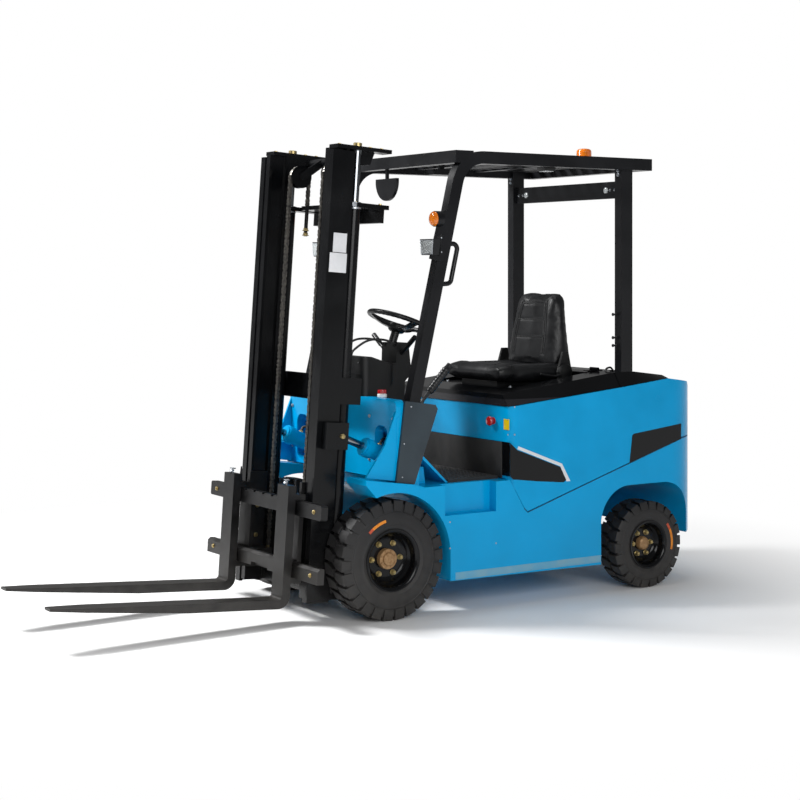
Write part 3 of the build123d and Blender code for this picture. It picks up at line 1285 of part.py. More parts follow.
def notched_bar():
    """Upper fork bar with the locking notches in its top edge and a stop at each end."""
    half = BAR_HALF_WIDTH
    top = UPPER_BAR_Z + UPPER_BAR_H
    front_x = BAR_BACK_X + BAR_DEPTH
    bar = box(BAR_BACK_X, front_x, -half, half, UPPER_BAR_Z, top)
    for index in (-2, -1, 0, 1, 2):
        y = index * BAR_NOTCH_PITCH
        bar -= box(BAR_BACK_X + 12, front_x + 1, y - BAR_NOTCH_WIDTH / 2,
                   y + BAR_NOTCH_WIDTH / 2, top - BAR_NOTCH_DEPTH, top + 1)
    ends = bar.edges().filter_by(Axis.X).group_by(Axis.Y)
    return chamfer(ends[0] + ends[-1], 7)


def carriage():
    """Fork carriage: two bars, roller plates, guide rollers and chain anchors."""
    rail_y = INNER_INSIDE_Y
    roller_r = INNER_DEPTH / 2 - INNER_FLANGE_T - ROLLER_CLEARANCE
    web_y = (INNER_INSIDE_Y + INNER_HALF_WIDTH - INNER_WEB) / 2
    face_x = BAR_BACK_X - CARRIAGE_PLATE
    low, high = CARRIAGE_ROLLER_ZS
    plate = box(RAIL_MIDDLE_X - 24, face_x + 2, rail_y - 24, rail_y - RAIL_CLEARANCE,
                low - 50, high + 60)
    plate += box(face_x, BAR_BACK_X, rail_y - 90, rail_y + 24, LOWER_BAR_Z,
                 UPPER_BAR_Z + UPPER_BAR_H)
    for z in CARRIAGE_ROLLER_ZS:
        plate += cross_bar(RAIL_MIDDLE_X, z, roller_r, rail_y - 10, web_y - RAIL_CLEARANCE)
    plate += box(PULLEY_X + PULLEY_R - 14, BAR_BACK_X - 2, CHAIN_Y - 16, rail_y - 20,
                 CHAIN_FOOT_Z - 26, CHAIN_FOOT_Z)
    half = BAR_HALF_WIDTH
    front_x = BAR_BACK_X + BAR_DEPTH
    lower = box(BAR_BACK_X, front_x, -half, half, LOWER_BAR_Z, LOWER_BAR_Z + LOWER_BAR_H)
    lower = chamfer(edge_at(lower, front_x, LOWER_BAR_Z + LOWER_BAR_H), 12)
    lower -= box(BAR_BACK_X + 10, front_x + 1, -80, 80, 0, LOWER_BAR_Z + LOWER_BAR_DIP)
    return both_sides(plate) + notched_bar() + lower


def fork(side):
    """Fork: hooked shank with its locking pin, heel bend and a blade that thins to its tip."""
    back = FORK_FRONT_X - FORK_THICKNESS
    tip_x = FORK_FRONT_X + FORK_LENGTH
    foot = FORK_BLADE_TOP_Z - FORK_THICKNESS
    half = FORK_WIDTH / 2
    body = side_prism(
        [(back, FORK_TOP_Z), (FORK_FRONT_X, FORK_TOP_Z), (FORK_FRONT_X, FORK_BLADE_TOP_Z),
         (tip_x, FORK_BLADE_TOP_Z), (tip_x, FORK_BLADE_TOP_Z - FORK_TIP_T),
         (tip_x - FORK_TAPER, foot), (back, foot)], -half, half,
    )
    body = fillet(edge_at(body, back, foot), FORK_HEEL_R)
    body = fillet(edge_at(body, FORK_FRONT_X, FORK_BLADE_TOP_Z), FORK_THROAT_R)
    hook_z = UPPER_BAR_Z + UPPER_BAR_H
    body += box(BAR_BACK_X - 10, back + 2, -half, half, hook_z + HOOK_GAP, hook_z + HOOK_HEIGHT)
    body += box(BAR_BACK_X - HOOK_GRIP, back + 2, -half, half,
                LOWER_BAR_Z - HOOK_HEIGHT, LOWER_BAR_Z - HOOK_GAP)
    pin_x = BAR_BACK_X + BAR_DEPTH / 2
    body += Pos(pin_x, 0, hook_z + HOOK_HEIGHT - 1 + LOCK_PIN_H / 2) * Cone(
        LOCK_PIN_R, LOCK_PIN_R / 3, LOCK_PIN_H
    )
    taper = plan_prism(
        [(tip_x + 1, FORK_TIP_WIDTH / 2), (tip_x - FORK_NOSE, half),
         (tip_x - FORK_NOSE, FORK_WIDTH), (tip_x + 1, FORK_WIDTH)], 0, 200,
    )
    return Pos(0, side * FORK_Y, 0) * (body - both_sides(taper))


def tilt_line():
    """Length and slope of a tilt cylinder at rest, eye to eye."""
    eye_x, eye_z = lean(TILT_EYE)
    dx = eye_x - TILT_BASE[0]
    dz = eye_z - TILT_BASE[1]
    return hypot(dx, dz), degrees(atan2(dz, dx))


def tilt_place(side):
    """Place a cylinder drawn along X from its base pin."""
    slope = tilt_line()[1]
    return Pos(TILT_BASE[0], side * TILT_Y, TILT_BASE[1]) * Rot(0, -slope, 0)


def along_x(start, end, radius):
    """Round bar along X from start to end."""
    return rod((start, 0, 0), (end, 0, 0), radius)


def tilt_barrel(side):
    """Tilt cylinder barrel with its base eye and gland collar."""
    gland = TILT_BARREL_LENGTH - TILT_GLAND_L
    barrel = along_x(TILT_NECK, TILT_BARREL_LENGTH, TILT_BARREL_R)
    barrel += along_x(gland, TILT_BARREL_LENGTH - 8, TILT_GLAND_R)
    barrel += along_x(10, TILT_NECK + 2, EYE_WIDTH / 2)
    barrel += cross_bar(0, 0, TILT_EYE_R, -EYE_WIDTH / 2, EYE_WIDTH / 2)
    barrel -= along_x(TILT_NECK + 12, TILT_BARREL_LENGTH - 26, TILT_BORE_R)
    barrel -= along_x(TILT_NECK + 12, TILT_BARREL_LENGTH + 5, TILT_ROD_R + PIN_PLAY)
    barrel -= cross_bar(0, 0, TILT_PIN_R + PIN_PLAY, -60, 60)
    return tilt_place(side) * barrel


def tilt_rod(side):
    """Tilt cylinder rod with its piston and the eye that sits round the mast's pin."""
    length = tilt_line()[0]
    body = along_x(TILT_PISTON_X, length - 20, TILT_ROD_R)
    body += along_x(TILT_PISTON_X, TILT_PISTON_X + TILT_PISTON_L, TILT_BORE_R - PIN_PLAY)
    body += cross_bar(length, 0, TILT_EYE_R, -EYE_WIDTH / 2, EYE_WIDTH / 2)
    body -= cross_bar(length, 0, TILT_PIN_R + EYE_PLAY, -60, 60)
    return tilt_place(side) * body


def tilt_base_pins():
    """Brackets and pins under the toe board for the tilt cylinders' base eyes."""
    x, z = TILT_BASE
    ear_y = EYE_WIDTH / 2 + EYE_SIDE_GAP
    bracket = cross_bar(x, z, TILT_PIN_R, TILT_Y - ear_y - EAR_T, TILT_Y + ear_y + EAR_T)
    for y in (TILT_Y - ear_y - EAR_T, TILT_Y + ear_y):
        bracket += side_prism([(x - 26, z + 14), (x + 26, z + 14), (x + 36, FLOOR_Z - 6),
                               (x - 36, FLOOR_Z - 6)], y, y + EAR_T)
    return both_sides(bracket)


def all_nodes():
    """Every node of the truck, by name."""
    back_strand_x = PULLEY_X - PULLEY_R
    nodes = {
        "chassis_frame": chassis_frame() + tilt_base_pins(),
        "counterweight": counterweight(),
        "floor_panel": floor_panel(),
        "front_cowl": front_cowl(),
        "pillar_covers": pillar_covers(),
        "battery": battery(),
        "battery_hood": battery_hood(),
        "hood_skirt": hood_skirt(),
        "hood_cap": hood_cap(),
        "seat_frame": seat_frame(),
        "seat_cushion": seat_cushion(),
        "seat_back": seat_back(),
        "steering_column": steering_column(),
        "steering_wheel": steering_wheel(),
        "controls": controls(),
        "guard_frame": guard_frame(),
        "roof_slats": roof_slats(),
        "lamps": lamps(),
        "beacon": beacon(),
        "mirror": mirror_fan(),
        "drive_axle": drive_axle(),
        "steer_axle": steer_axle(),
        "knuckle_left": knuckle(1),
        "knuckle_right": knuckle(-1),
        "outer_rails": on_mast(outer_rails()),
        "outer_ties": on_mast(outer_ties()),
        "inner_rails": on_mast(inner_rails()),
        "inner_ties": on_mast(inner_ties()),
        "lift_barrels": on_mast(lift_barrels()),
        "lift_rods": on_mast(lift_rods()),
        "chain_pulleys": on_mast(pulleys()),
        "chain_front": on_mast(chain_strand(PULLEY_X + PULLEY_R, CHAIN_FOOT_Z)),
        "chain_back": on_mast(chain_strand(back_strand_x, TIE_PLATE_Z + TIE_PLATE_T + 1)),
        "carriage": on_mast(carriage()),
        "fork_left": on_mast(fork(1)),
        "fork_right": on_mast(fork(-1)),
        "tilt_barrel_left": tilt_barrel(1),
        "tilt_barrel_right": tilt_barrel(-1),
        "tilt_rod_left": tilt_rod(1),
        "tilt_rod_right": tilt_rod(-1),
    }
    nodes.update(wheel_nodes())
    return nodes


def main():
    """Write one STEP file per node."""
    os.makedirs("parts", exist_ok=True)
    for name, shape in all_nodes().items():
        export_step(Pos(ORIGIN_SHIFT_X, 0, 0) * shape, f"parts/{name}.step")


if __name__ == "__main__":
    main()
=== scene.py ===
"""Looks of an electric counterbalance forklift truck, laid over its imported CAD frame.

Sizes are in millimetres, measured as in the part's source: X from the front axle and
forwards, Y to the truck's left, Z from the floor. Each drawing frame turns them into the
row frame's metres. Every sub-assembly is a class with its sizes and its finishes.
"""
from __future__ import annotations

import json
import logging
from collections.abc import Sequence
from dataclasses import dataclass
from enum import Enum
from math import atan2, cos, pi, radians, sin

import bmesh
import bpy
from mathutils import Matrix, Vector
from mathutils.bvhtree import BVHTree

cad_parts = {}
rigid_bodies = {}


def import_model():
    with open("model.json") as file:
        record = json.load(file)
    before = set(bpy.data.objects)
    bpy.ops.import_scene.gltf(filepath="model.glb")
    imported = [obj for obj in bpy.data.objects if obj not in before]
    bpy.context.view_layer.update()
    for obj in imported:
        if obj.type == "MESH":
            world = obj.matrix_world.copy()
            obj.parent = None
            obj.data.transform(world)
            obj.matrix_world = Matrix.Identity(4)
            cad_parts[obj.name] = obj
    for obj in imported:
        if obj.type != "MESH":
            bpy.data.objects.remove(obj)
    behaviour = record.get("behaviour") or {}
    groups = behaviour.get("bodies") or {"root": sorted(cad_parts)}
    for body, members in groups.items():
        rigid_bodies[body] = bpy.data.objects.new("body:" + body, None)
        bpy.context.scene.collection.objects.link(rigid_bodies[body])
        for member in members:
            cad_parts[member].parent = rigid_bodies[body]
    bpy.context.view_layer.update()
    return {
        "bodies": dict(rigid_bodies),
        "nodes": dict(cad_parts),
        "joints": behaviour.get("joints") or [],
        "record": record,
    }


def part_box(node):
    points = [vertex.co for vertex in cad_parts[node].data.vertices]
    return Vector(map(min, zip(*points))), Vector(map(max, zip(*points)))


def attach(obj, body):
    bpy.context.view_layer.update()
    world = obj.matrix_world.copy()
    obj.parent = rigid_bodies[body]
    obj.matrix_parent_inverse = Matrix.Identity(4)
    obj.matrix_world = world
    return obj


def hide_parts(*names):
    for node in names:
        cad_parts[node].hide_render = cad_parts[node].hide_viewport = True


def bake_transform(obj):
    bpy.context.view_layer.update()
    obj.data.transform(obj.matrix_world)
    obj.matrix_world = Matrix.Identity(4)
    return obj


LOG = logging.getLogger("forklift")
MM = 0.001
Point = tuple[float, float, float]
Flat = tuple[float, float]


# Colour and node tools

def linear(code: str) -> tuple[float, float, float, float]:
    """Turns an sRGB hex colour to linear.

    Args:
        code: Six hex digits, such as "1A2B3C".

    Returns:
        Red, green, blue and an alpha of 1.
    """
    channels = [int(code[i:i + 2], 16) / 255 for i in (0, 2, 4)]
    out = [c / 12.92 if c <= 0.04045 else ((c + 0.055) / 1.055) ** 2.4 for c in channels]
    return out[0], out[1], out[2], 1.0


def add_node(
    tree: bpy.types.NodeTree, kind: str, settings: dict | None = None,
    sockets: dict | None = None,
) -> bpy.types.Node:
    """Adds a node with its settings and its sockets.

    Args:
        tree: The material's or the world's node tree.
        kind: The node's type name.
        settings: Properties of the node.
        sockets: Input name or number to a value, or to the output that feeds it.

    Returns:
        The new node.
    """
    node = tree.nodes.new(kind)
    for name, value in (settings or {}).items():
        setattr(node, name, value)
    for name, value in (sockets or {}).items():
        if isinstance(value, bpy.types.NodeSocket):
            tree.links.new(value, node.inputs[name])
        else:
            node.inputs[name].default_value = value
    return node


class Grain(Enum):
    """How a surface was made, which gives its small relief."""

    SPRAYED = "sprayed paint"
    CAST = "sand cast"
    BRUSHED = "drawn or brushed"
    PEBBLED = "embossed leather grain"
    MOULDED = "moulded"
    PRISMS = "moulded prisms"


@dataclass(frozen=True)
class Finish:
    """One surface finish: what it is made of and how that was worked."""

    name: str
    slot: str
    colour: str
    shade: str
    roughness: Flat
    grain: Grain = Grain.MOULDED
    grain_mm: float = 2.0
    depth_mm: float = 0.05
    cloud_mm: float = 160.0
    metallic: float = 0.0
    ior: float = 1.5
    coat: float = 0.0
    specular: float = 0.5
    see_through: float = 0.0
    dust: float = 0.0

    def relief(
        self, tree: bpy.types.NodeTree, place: bpy.types.NodeSocket,
    ) -> bpy.types.NodeSocket:
        """Draws the height of the surface's grain.

        Args:
            tree: The material's tree.
            place: The place on the surface, in metres.

        Returns:
            The output that holds the height.
        """
        per_metre = 1 / (self.grain_mm * MM)
        if self.grain is Grain.BRUSHED:
            long_way = add_node(tree, "ShaderNodeMapping", {}, {
                "Vector": place, "Scale": (1.0, 1.0, 0.04)})
            return add_node(tree, "ShaderNodeTexNoise", {}, {
                "Vector": long_way.outputs[0], "Scale": per_metre, "Detail": 3.0}).outputs["Fac"]
        if self.grain is Grain.PEBBLED:
            return add_node(tree, "ShaderNodeTexVoronoi", {"feature": "SMOOTH_F1"}, {
                "Vector": place, "Scale": per_metre, "Smoothness": 0.4}).outputs["Distance"]
        if self.grain is Grain.PRISMS:
            return add_node(tree, "ShaderNodeTexWave", {"bands_direction": "Z"}, {
                "Vector": place, "Scale": per_metre / 3.2, "Distortion": 0.0}).outputs["Fac"]
        detail = 6.0 if self.grain is Grain.CAST else 2.0
        return add_node(tree, "ShaderNodeTexNoise", {}, {
            "Vector": place, "Scale": per_metre, "Detail": detail}).outputs["Fac"]

    def material(self) -> bpy.types.Material:
        """Builds the material once, and hands out the same one after that.

        Returns:
            The material.
        """
        found = bpy.data.materials.get(self.name)
        if found:
            return found
        made = bpy.data.materials.new(self.name)
        made.use_nodes = True
        tree = made.node_tree
        shader = tree.nodes["Principled BSDF"]
        place = add_node(tree, "ShaderNodeTexCoord").outputs["Object"]
        clouds = add_node(tree, "ShaderNodeTexNoise", {}, {
            "Vector": place, "Scale": 1 / (self.cloud_mm * MM), "Detail": 5.0}).outputs["Fac"]
        spread = add_node(tree, "ShaderNodeMapRange", {}, {
            "Value": clouds, "From Min": 0.35, "From Max": 0.65})
        tone = add_node(tree, "ShaderNodeMix", {"data_type": "RGBA"}, {
            "Factor": spread.outputs[0], 6: linear(self.colour), 7: linear(self.shade)})
        colour = tone.outputs[2]
        if self.dust:
            height = add_node(tree, "ShaderNodeSeparateXYZ", {}, {"Vector": place})
            low = add_node(tree, "ShaderNodeMapRange", {}, {
                "Value": height.outputs["Z"], "From Min": 0.5, "From Max": 0.0,
                "To Max": self.dust})
            patchy = add_node(tree, "ShaderNodeMath", {"operation": "MULTIPLY"}, {
                0: low.outputs[0], 1: clouds})
            colour = add_node(tree, "ShaderNodeMix", {"data_type": "RGBA"}, {
                "Factor": patchy.outputs[0], 6: colour, 7: linear("8C867D")}).outputs[2]
        tree.links.new(colour, shader.inputs["Base Color"])
        gloss = add_node(tree, "ShaderNodeMapRange", {}, {
            "Value": clouds, "From Min": 0.3, "From Max": 0.7,
            "To Min": self.roughness[0], "To Max": self.roughness[1]})
        tree.links.new(gloss.outputs[0], shader.inputs["Roughness"])
        bump = add_node(tree, "ShaderNodeBump", {}, {
            "Height": self.relief(tree, place), "Distance": self.depth_mm * MM, "Strength": 1.0})
        tree.links.new(bump.outputs[0], shader.inputs["Normal"])
        shader.inputs["Metallic"].default_value = self.metallic
        if not self.metallic:
            shader.inputs["IOR"].default_value = self.ior
            shader.inputs["Specular IOR Level"].default_value = self.specular
        shader.inputs["Coat Weight"].default_value = self.coat
        shader.inputs["Coat Roughness"].default_value = 0.06
        shader.inputs["Transmission Weight"].default_value = self.see_through
        return made


# Finishes

# Two-pack enamel sprayed on sheet steel: clear wet-looking highlights on an even blue,
# with orange peel about 3 mm wide, drawn a little deeper than real so that it shows.
BLUE_ENAMEL = Finish("blue_enamel", "blue_paint", "009CD6", "0095CC", (0.16, 0.24), Grain.SPRAYED,
                     3.0, 0.012, 320.0, specular=0.16, dust=0.06)
# The same enamel over sand-cast iron, whose skin stays slightly uneven below the gloss.
CAST_ENAMEL = Finish("blue_enamel_on_cast_iron", "weight_blue", "009CD6", "0093CA", (0.18, 0.28),
                     Grain.CAST, 9.0, 0.05, 260.0, specular=0.16, dust=0.05)
# Paler grey-blue on the sill's lower bevel: painted sheen, the floor's reflection on the bevel,
# with road dust greying it too.
SILL_SHEEN_AND_DUST = Finish("sill_painted_sheen_and_dust", "blue_paint", "4E9DC0", "6FA5BC", (0.3, 0.42),
                     Grain.SPRAYED, 3.0, 0.012, 90.0, coat=0.3, dust=0.3)
# Black gloss enamel on plate: near black, with sharp long highlights.
BLACK_ENAMEL = Finish("black_gloss_enamel", "black_gloss", "08090B", "0C0D0F", (0.12, 0.2),
                      Grain.SPRAYED, 3.0, 0.015, 240.0, ior=1.42, specular=0.28)
# Black mast enamel over rolled channel: gloss with the mill's slight waves.
MAST_ENAMEL = Finish("black_mast_enamel", "black_gloss", "08090B", "0E0F11", (0.16, 0.28),
                     Grain.SPRAYED, 6.0, 0.03, 180.0, ior=1.42, specular=0.28, dust=0.06)
# Charcoal powder coat on tube: soft sheen and a fine even tooth, about 1 mm.
POWDER_COAT = Finish("charcoal_powder_coat", "black_satin", "0E0F12", "131417", (0.28, 0.4),
                     Grain.SPRAYED, 1.2, 0.03, 200.0, ior=1.42, specular=0.35)
# Slate powder coat of the front covers.
SLATE_COAT = Finish("slate_powder_coat", "slate_paint", "2A343B", "303B42", (0.35, 0.45),
                    Grain.SPRAYED, 1.2, 0.03, 160.0, specular=0.35)
# Painted cast iron of axles: rough skin with 4 mm sand marks, dusty low down.
CAST_IRON = Finish("painted_cast_iron", "axle_iron", "1B1C1E", "28292B", (0.5, 0.7),
                   Grain.CAST, 4.0, 0.25, 60.0, dust=0.35)
# Bare cast iron of the wheel hubs under a tan wash primer.
HUB_IRON = Finish("primed_cast_iron", "axle_iron", "A5835C", "8A6A46", (0.42, 0.6),
                  Grain.CAST, 3.0, 0.2, 14.0, metallic=0.35)
# Forged fork steel under thin satin black: scale marks 8 mm across show through.
FORK_STEEL = Finish("black_forged_steel", "fork_steel", "0A0A0B", "141416", (0.32, 0.5),
                    Grain.CAST, 8.0, 0.08, 70.0, metallic=0.25, dust=0.2)
# Hard chrome of the rods: mirror smooth, with faint grinding lines.
CHROME = Finish("hard_chrome", "chrome_rod", "8E9296", "83878B", (0.08, 0.16), Grain.BRUSHED,
                1.5, 0.01, 60.0, metallic=1.0)
# Oiled chain steel: dull brown-grey plates.
CHAIN_STEEL = Finish("oiled_chain_steel", "chain_steel", "4C4B4A", "77736D", (0.3, 0.45),
                     Grain.BRUSHED, 2.0, 0.05, 12.0, metallic=0.8)
# Zinc-plated screws with a yellow passivated tint.
ZINC = Finish("yellow_zinc_plate", "chain_steel", "B9A670", "9B8C68", (0.3, 0.45),
              Grain.BRUSHED, 1.0, 0.02, 9.0, metallic=0.9)
# Bright zinc of rivets, plates and pin heads.
BRIGHT_ZINC = Finish("bright_zinc_plate", "chrome_rod", "B9BDC2", "A3A8AE", (0.25, 0.4),
                     Grain.BRUSHED, 1.0, 0.02, 12.0, metallic=0.9)
# Solid tyre rubber: dark warm grey, mould grain of 1.5 mm, dust on the tread.
RUBBER = Finish("solid_tyre_rubber", "tyre_rubber", "131315", "1A1A1C", (0.5, 0.7),
                Grain.MOULDED, 1.6, 0.12, 45.0, ior=1.52, specular=0.4, dust=0.18)
# Hose rubber with a cloth-marked cover.
HOSE_RUBBER = Finish("hydraulic_hose_rubber", "black_plastic", "141416", "1E1E20", (0.45, 0.6),
                     Grain.MOULDED, 1.2, 0.08, 30.0, ior=1.52)
# Moulded black ABS of the dash and controls: grain about 1 mm, soft sheen.
ABS = Finish("black_moulded_abs", "black_plastic", "0D0E0F", "121314", (0.34, 0.46),
             Grain.PEBBLED, 1.4, 0.06, 90.0, ior=1.45, specular=0.35)
# Polyurethane skin of the handwheel and knobs, smoother than the dash.
SOFT_PLASTIC = Finish("polyurethane_grip", "black_plastic", "111214", "191A1C", (0.28, 0.4),
                      Grain.MOULDED, 1.0, 0.03, 60.0, ior=1.45, specular=0.4)
# Ribbed rubber of the floor mat.
MAT_RUBBER = Finish("floor_mat_rubber", "black_plastic", "1B1C1D", "2A2A2A", (0.6, 0.8),
                    Grain.CAST, 3.0, 0.2, 60.0, ior=1.52)
# Embossed vinyl of the seat: pebble grain of 2.5 mm, drawn coarser than the real 1 mm.
VINYL = Finish("embossed_black_vinyl", "seat_vinyl", "101113", "161719", (0.34, 0.48),
               Grain.PEBBLED, 2.5, 0.12, 70.0, ior=1.45, specular=0.4)
# Welted cord round the seat's panels, in smoother vinyl.
WELT = Finish("vinyl_welt", "seat_vinyl", "0F1012", "17181A", (0.3, 0.42), Grain.MOULDED,
              2.0, 0.05, 30.0, ior=1.5)
# Injection-moulded amber polycarbonate: glows through, with fine prisms inside.
AMBER = Finish("amber_polycarbonate", "amber_lens", "FF8A12", "F47A08", (0.1, 0.18),
               Grain.PRISMS, 6.0, 0.3, 40.0, ior=1.58, coat=0.5, see_through=0.25)
# Clear lamp glass with moulded ribs over a bright reflector.
LAMP_GLASS = Finish("ribbed_lamp_glass", "chrome_rod", "D9DEDF", "C6CCCE", (0.08, 0.2),
                    Grain.PRISMS, 5.0, 0.5, 30.0, ior=1.5, see_through=0.35, coat=0.4)
# Red polycarbonate of rear lamps and the stop button.
RED_PLASTIC = Finish("red_polycarbonate", "amber_lens", "B01A1C", "98141A", (0.15, 0.25),
                     Grain.MOULDED, 3.0, 0.04, 20.0, ior=1.58, coat=0.4)
# Silvered glass of the mirror.
MIRROR_GLASS = Finish("silvered_glass", "chrome_rod", "DDE2E6", "D2D8DC", (0.03, 0.06),
                      Grain.MOULDED, 30.0, 0.005, 90.0, metallic=1.0)
# White polyethylene of the reservoir, slightly translucent.
WHITE_PE = Finish("white_polyethylene", "black_plastic", "E6E7E4", "D9DAD5", (0.35, 0.45),
                  Grain.MOULDED, 3.0, 0.05, 40.0, ior=1.54)
# White printed vinyl film of blank plates and the side stripe.
WHITE_FILM = Finish("white_vinyl_film", "black_plastic", "DCDDE0", "D4D6D9", (0.25, 0.35),
                    Grain.MOULDED, 4.0, 0.01, 60.0, ior=1.46)
# Black gloss film of the side panels.
BLACK_FILM = Finish("black_gloss_film", "black_gloss", "060709", "0A0B0D", (0.1, 0.18),
                    Grain.SPRAYED, 5.0, 0.01, 200.0, ior=1.42, specular=0.28)
# Yellow film of the small blank plate.
YELLOW_FILM = Finish("yellow_vinyl_film", "amber_lens", "E8C814", "DDBB10", (0.28, 0.36),
                     Grain.MOULDED, 4.0, 0.01, 30.0, ior=1.46)
# Orange-yellow paint strip on the tyre's side, worn into the rubber.
TYRE_STRIPE = Finish("orange_tyre_paint", "amber_lens", "E08A1C", "C9741A", (0.5, 0.65),
                     Grain.CAST, 2.0, 0.1, 16.0)
TYRE_STRIPE_RED = Finish("red_tyre_paint", "amber_lens", "C4502C", "A8452C", (0.5, 0.65),
                         Grain.CAST, 2.0, 0.1, 12.0)
# Grey moulded case of the battery.
BATTERY_CASE = Finish("grey_battery_case", "battery_case", "3A3D41", "44474B", (0.5, 0.62),
                      Grain.PEBBLED, 3.0, 0.1, 120.0, ior=1.53)
# Painted shade in the body's seam: a bead in darker body blue where the gap between battery box
# and weight falls in shade.
SEAM_PAINTED_SHADE = Finish("seam_painted_shade", "black_plastic", "0A3D5A", "0A344C", (0.5, 0.6),
                      Grain.MOULDED, 3.0, 0.05, 40.0)


def dress(nodes: dict[str, bpy.types.Object], finish: Finish, *names: str) -> None:
    """Gives CAD nodes their finish, by their own material slots.

    Args:
        nodes: The frame's nodes by name.
        finish: What they are finished in.
        names: The nodes' names.
    """
    for name in names:
        for slot in nodes[name].material_slots:
            slot.material = finish.material()


# Drawing frames and mesh tools

@dataclass(frozen=True)
class Places:
    """Frames that the pieces are drawn in: millimetres in, row-frame metres out."""

    truck: Matrix
    mast: Matrix
    column: Matrix

    @classmethod
    def from_frame(cls) -> Places:
        """Measures where the front axle is and builds the three frames.

        Returns:
            The frames of the truck, of the leaned mast and of the tipped column.
        """
        low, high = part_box("rim_front_left")
        truck = Matrix.Translation(((low.x + high.x) / 2, 0, 0)) @ Matrix.Scale(MM, 4)
        pin = Matrix.Translation(MAST_PIN)
        lean = pin @ Matrix.Rotation(radians(-MAST_LEAN), 4, "Y") @ pin.inverted()
        centre = Matrix.Translation(HANDWHEEL_CENTRE)
        tip = centre @ Matrix.Rotation(radians(-HANDWHEEL_LEAN), 4, "Y")
        return cls(truck, truck @ lean, truck @ tip)


MAST_PIN = (100.0, 0.0, 300.0)
MAST_LEAN = 4.0
HANDWHEEL_CENTRE = (-358.0, 0.0, 1325.0)
HANDWHEEL_LEAN = 20.0


def smooth_run(points: Sequence[Point], steps: int) -> list[Vector]:
    """Rounds a run of points with a curve that passes through each.

    Args:
        points: The points given.
        steps: Pieces between each two.

    Returns:
        The points of the curve.
    """
    p = [Vector(q) for q in points]
    p = [2 * p[0] - p[1], *p, 2 * p[-1] - p[-2]]
    run = []
    for a, b, c, d in zip(p, p[1:], p[2:], p[3:]):
        for i in range(steps):
            t = i / steps
            run.append(0.5 * (2 * b + (c - a) * t + (2 * a - 5 * b + 4 * c - d) * t * t
                              + (3 * b - a - 3 * c + d) * t ** 3))
    return [*run, p[-2]]


def arc(radius: float, start: float, end: float, steps: int,
        middle: Flat = (0.0, 0.0)) -> list[Flat]:
    """Points of an arc.

    Args:
        radius: Its radius.
        start: First angle in degrees.
        end: Last angle in degrees.
        steps: Pieces in it.
        middle: Its centre.

    Returns:
        The points, both ends among them.
    """
    turns = [radians(start + (end - start) * i / steps) for i in range(steps + 1)]
    return [(middle[0] + radius * cos(t), middle[1] + radius * sin(t)) for t in turns]


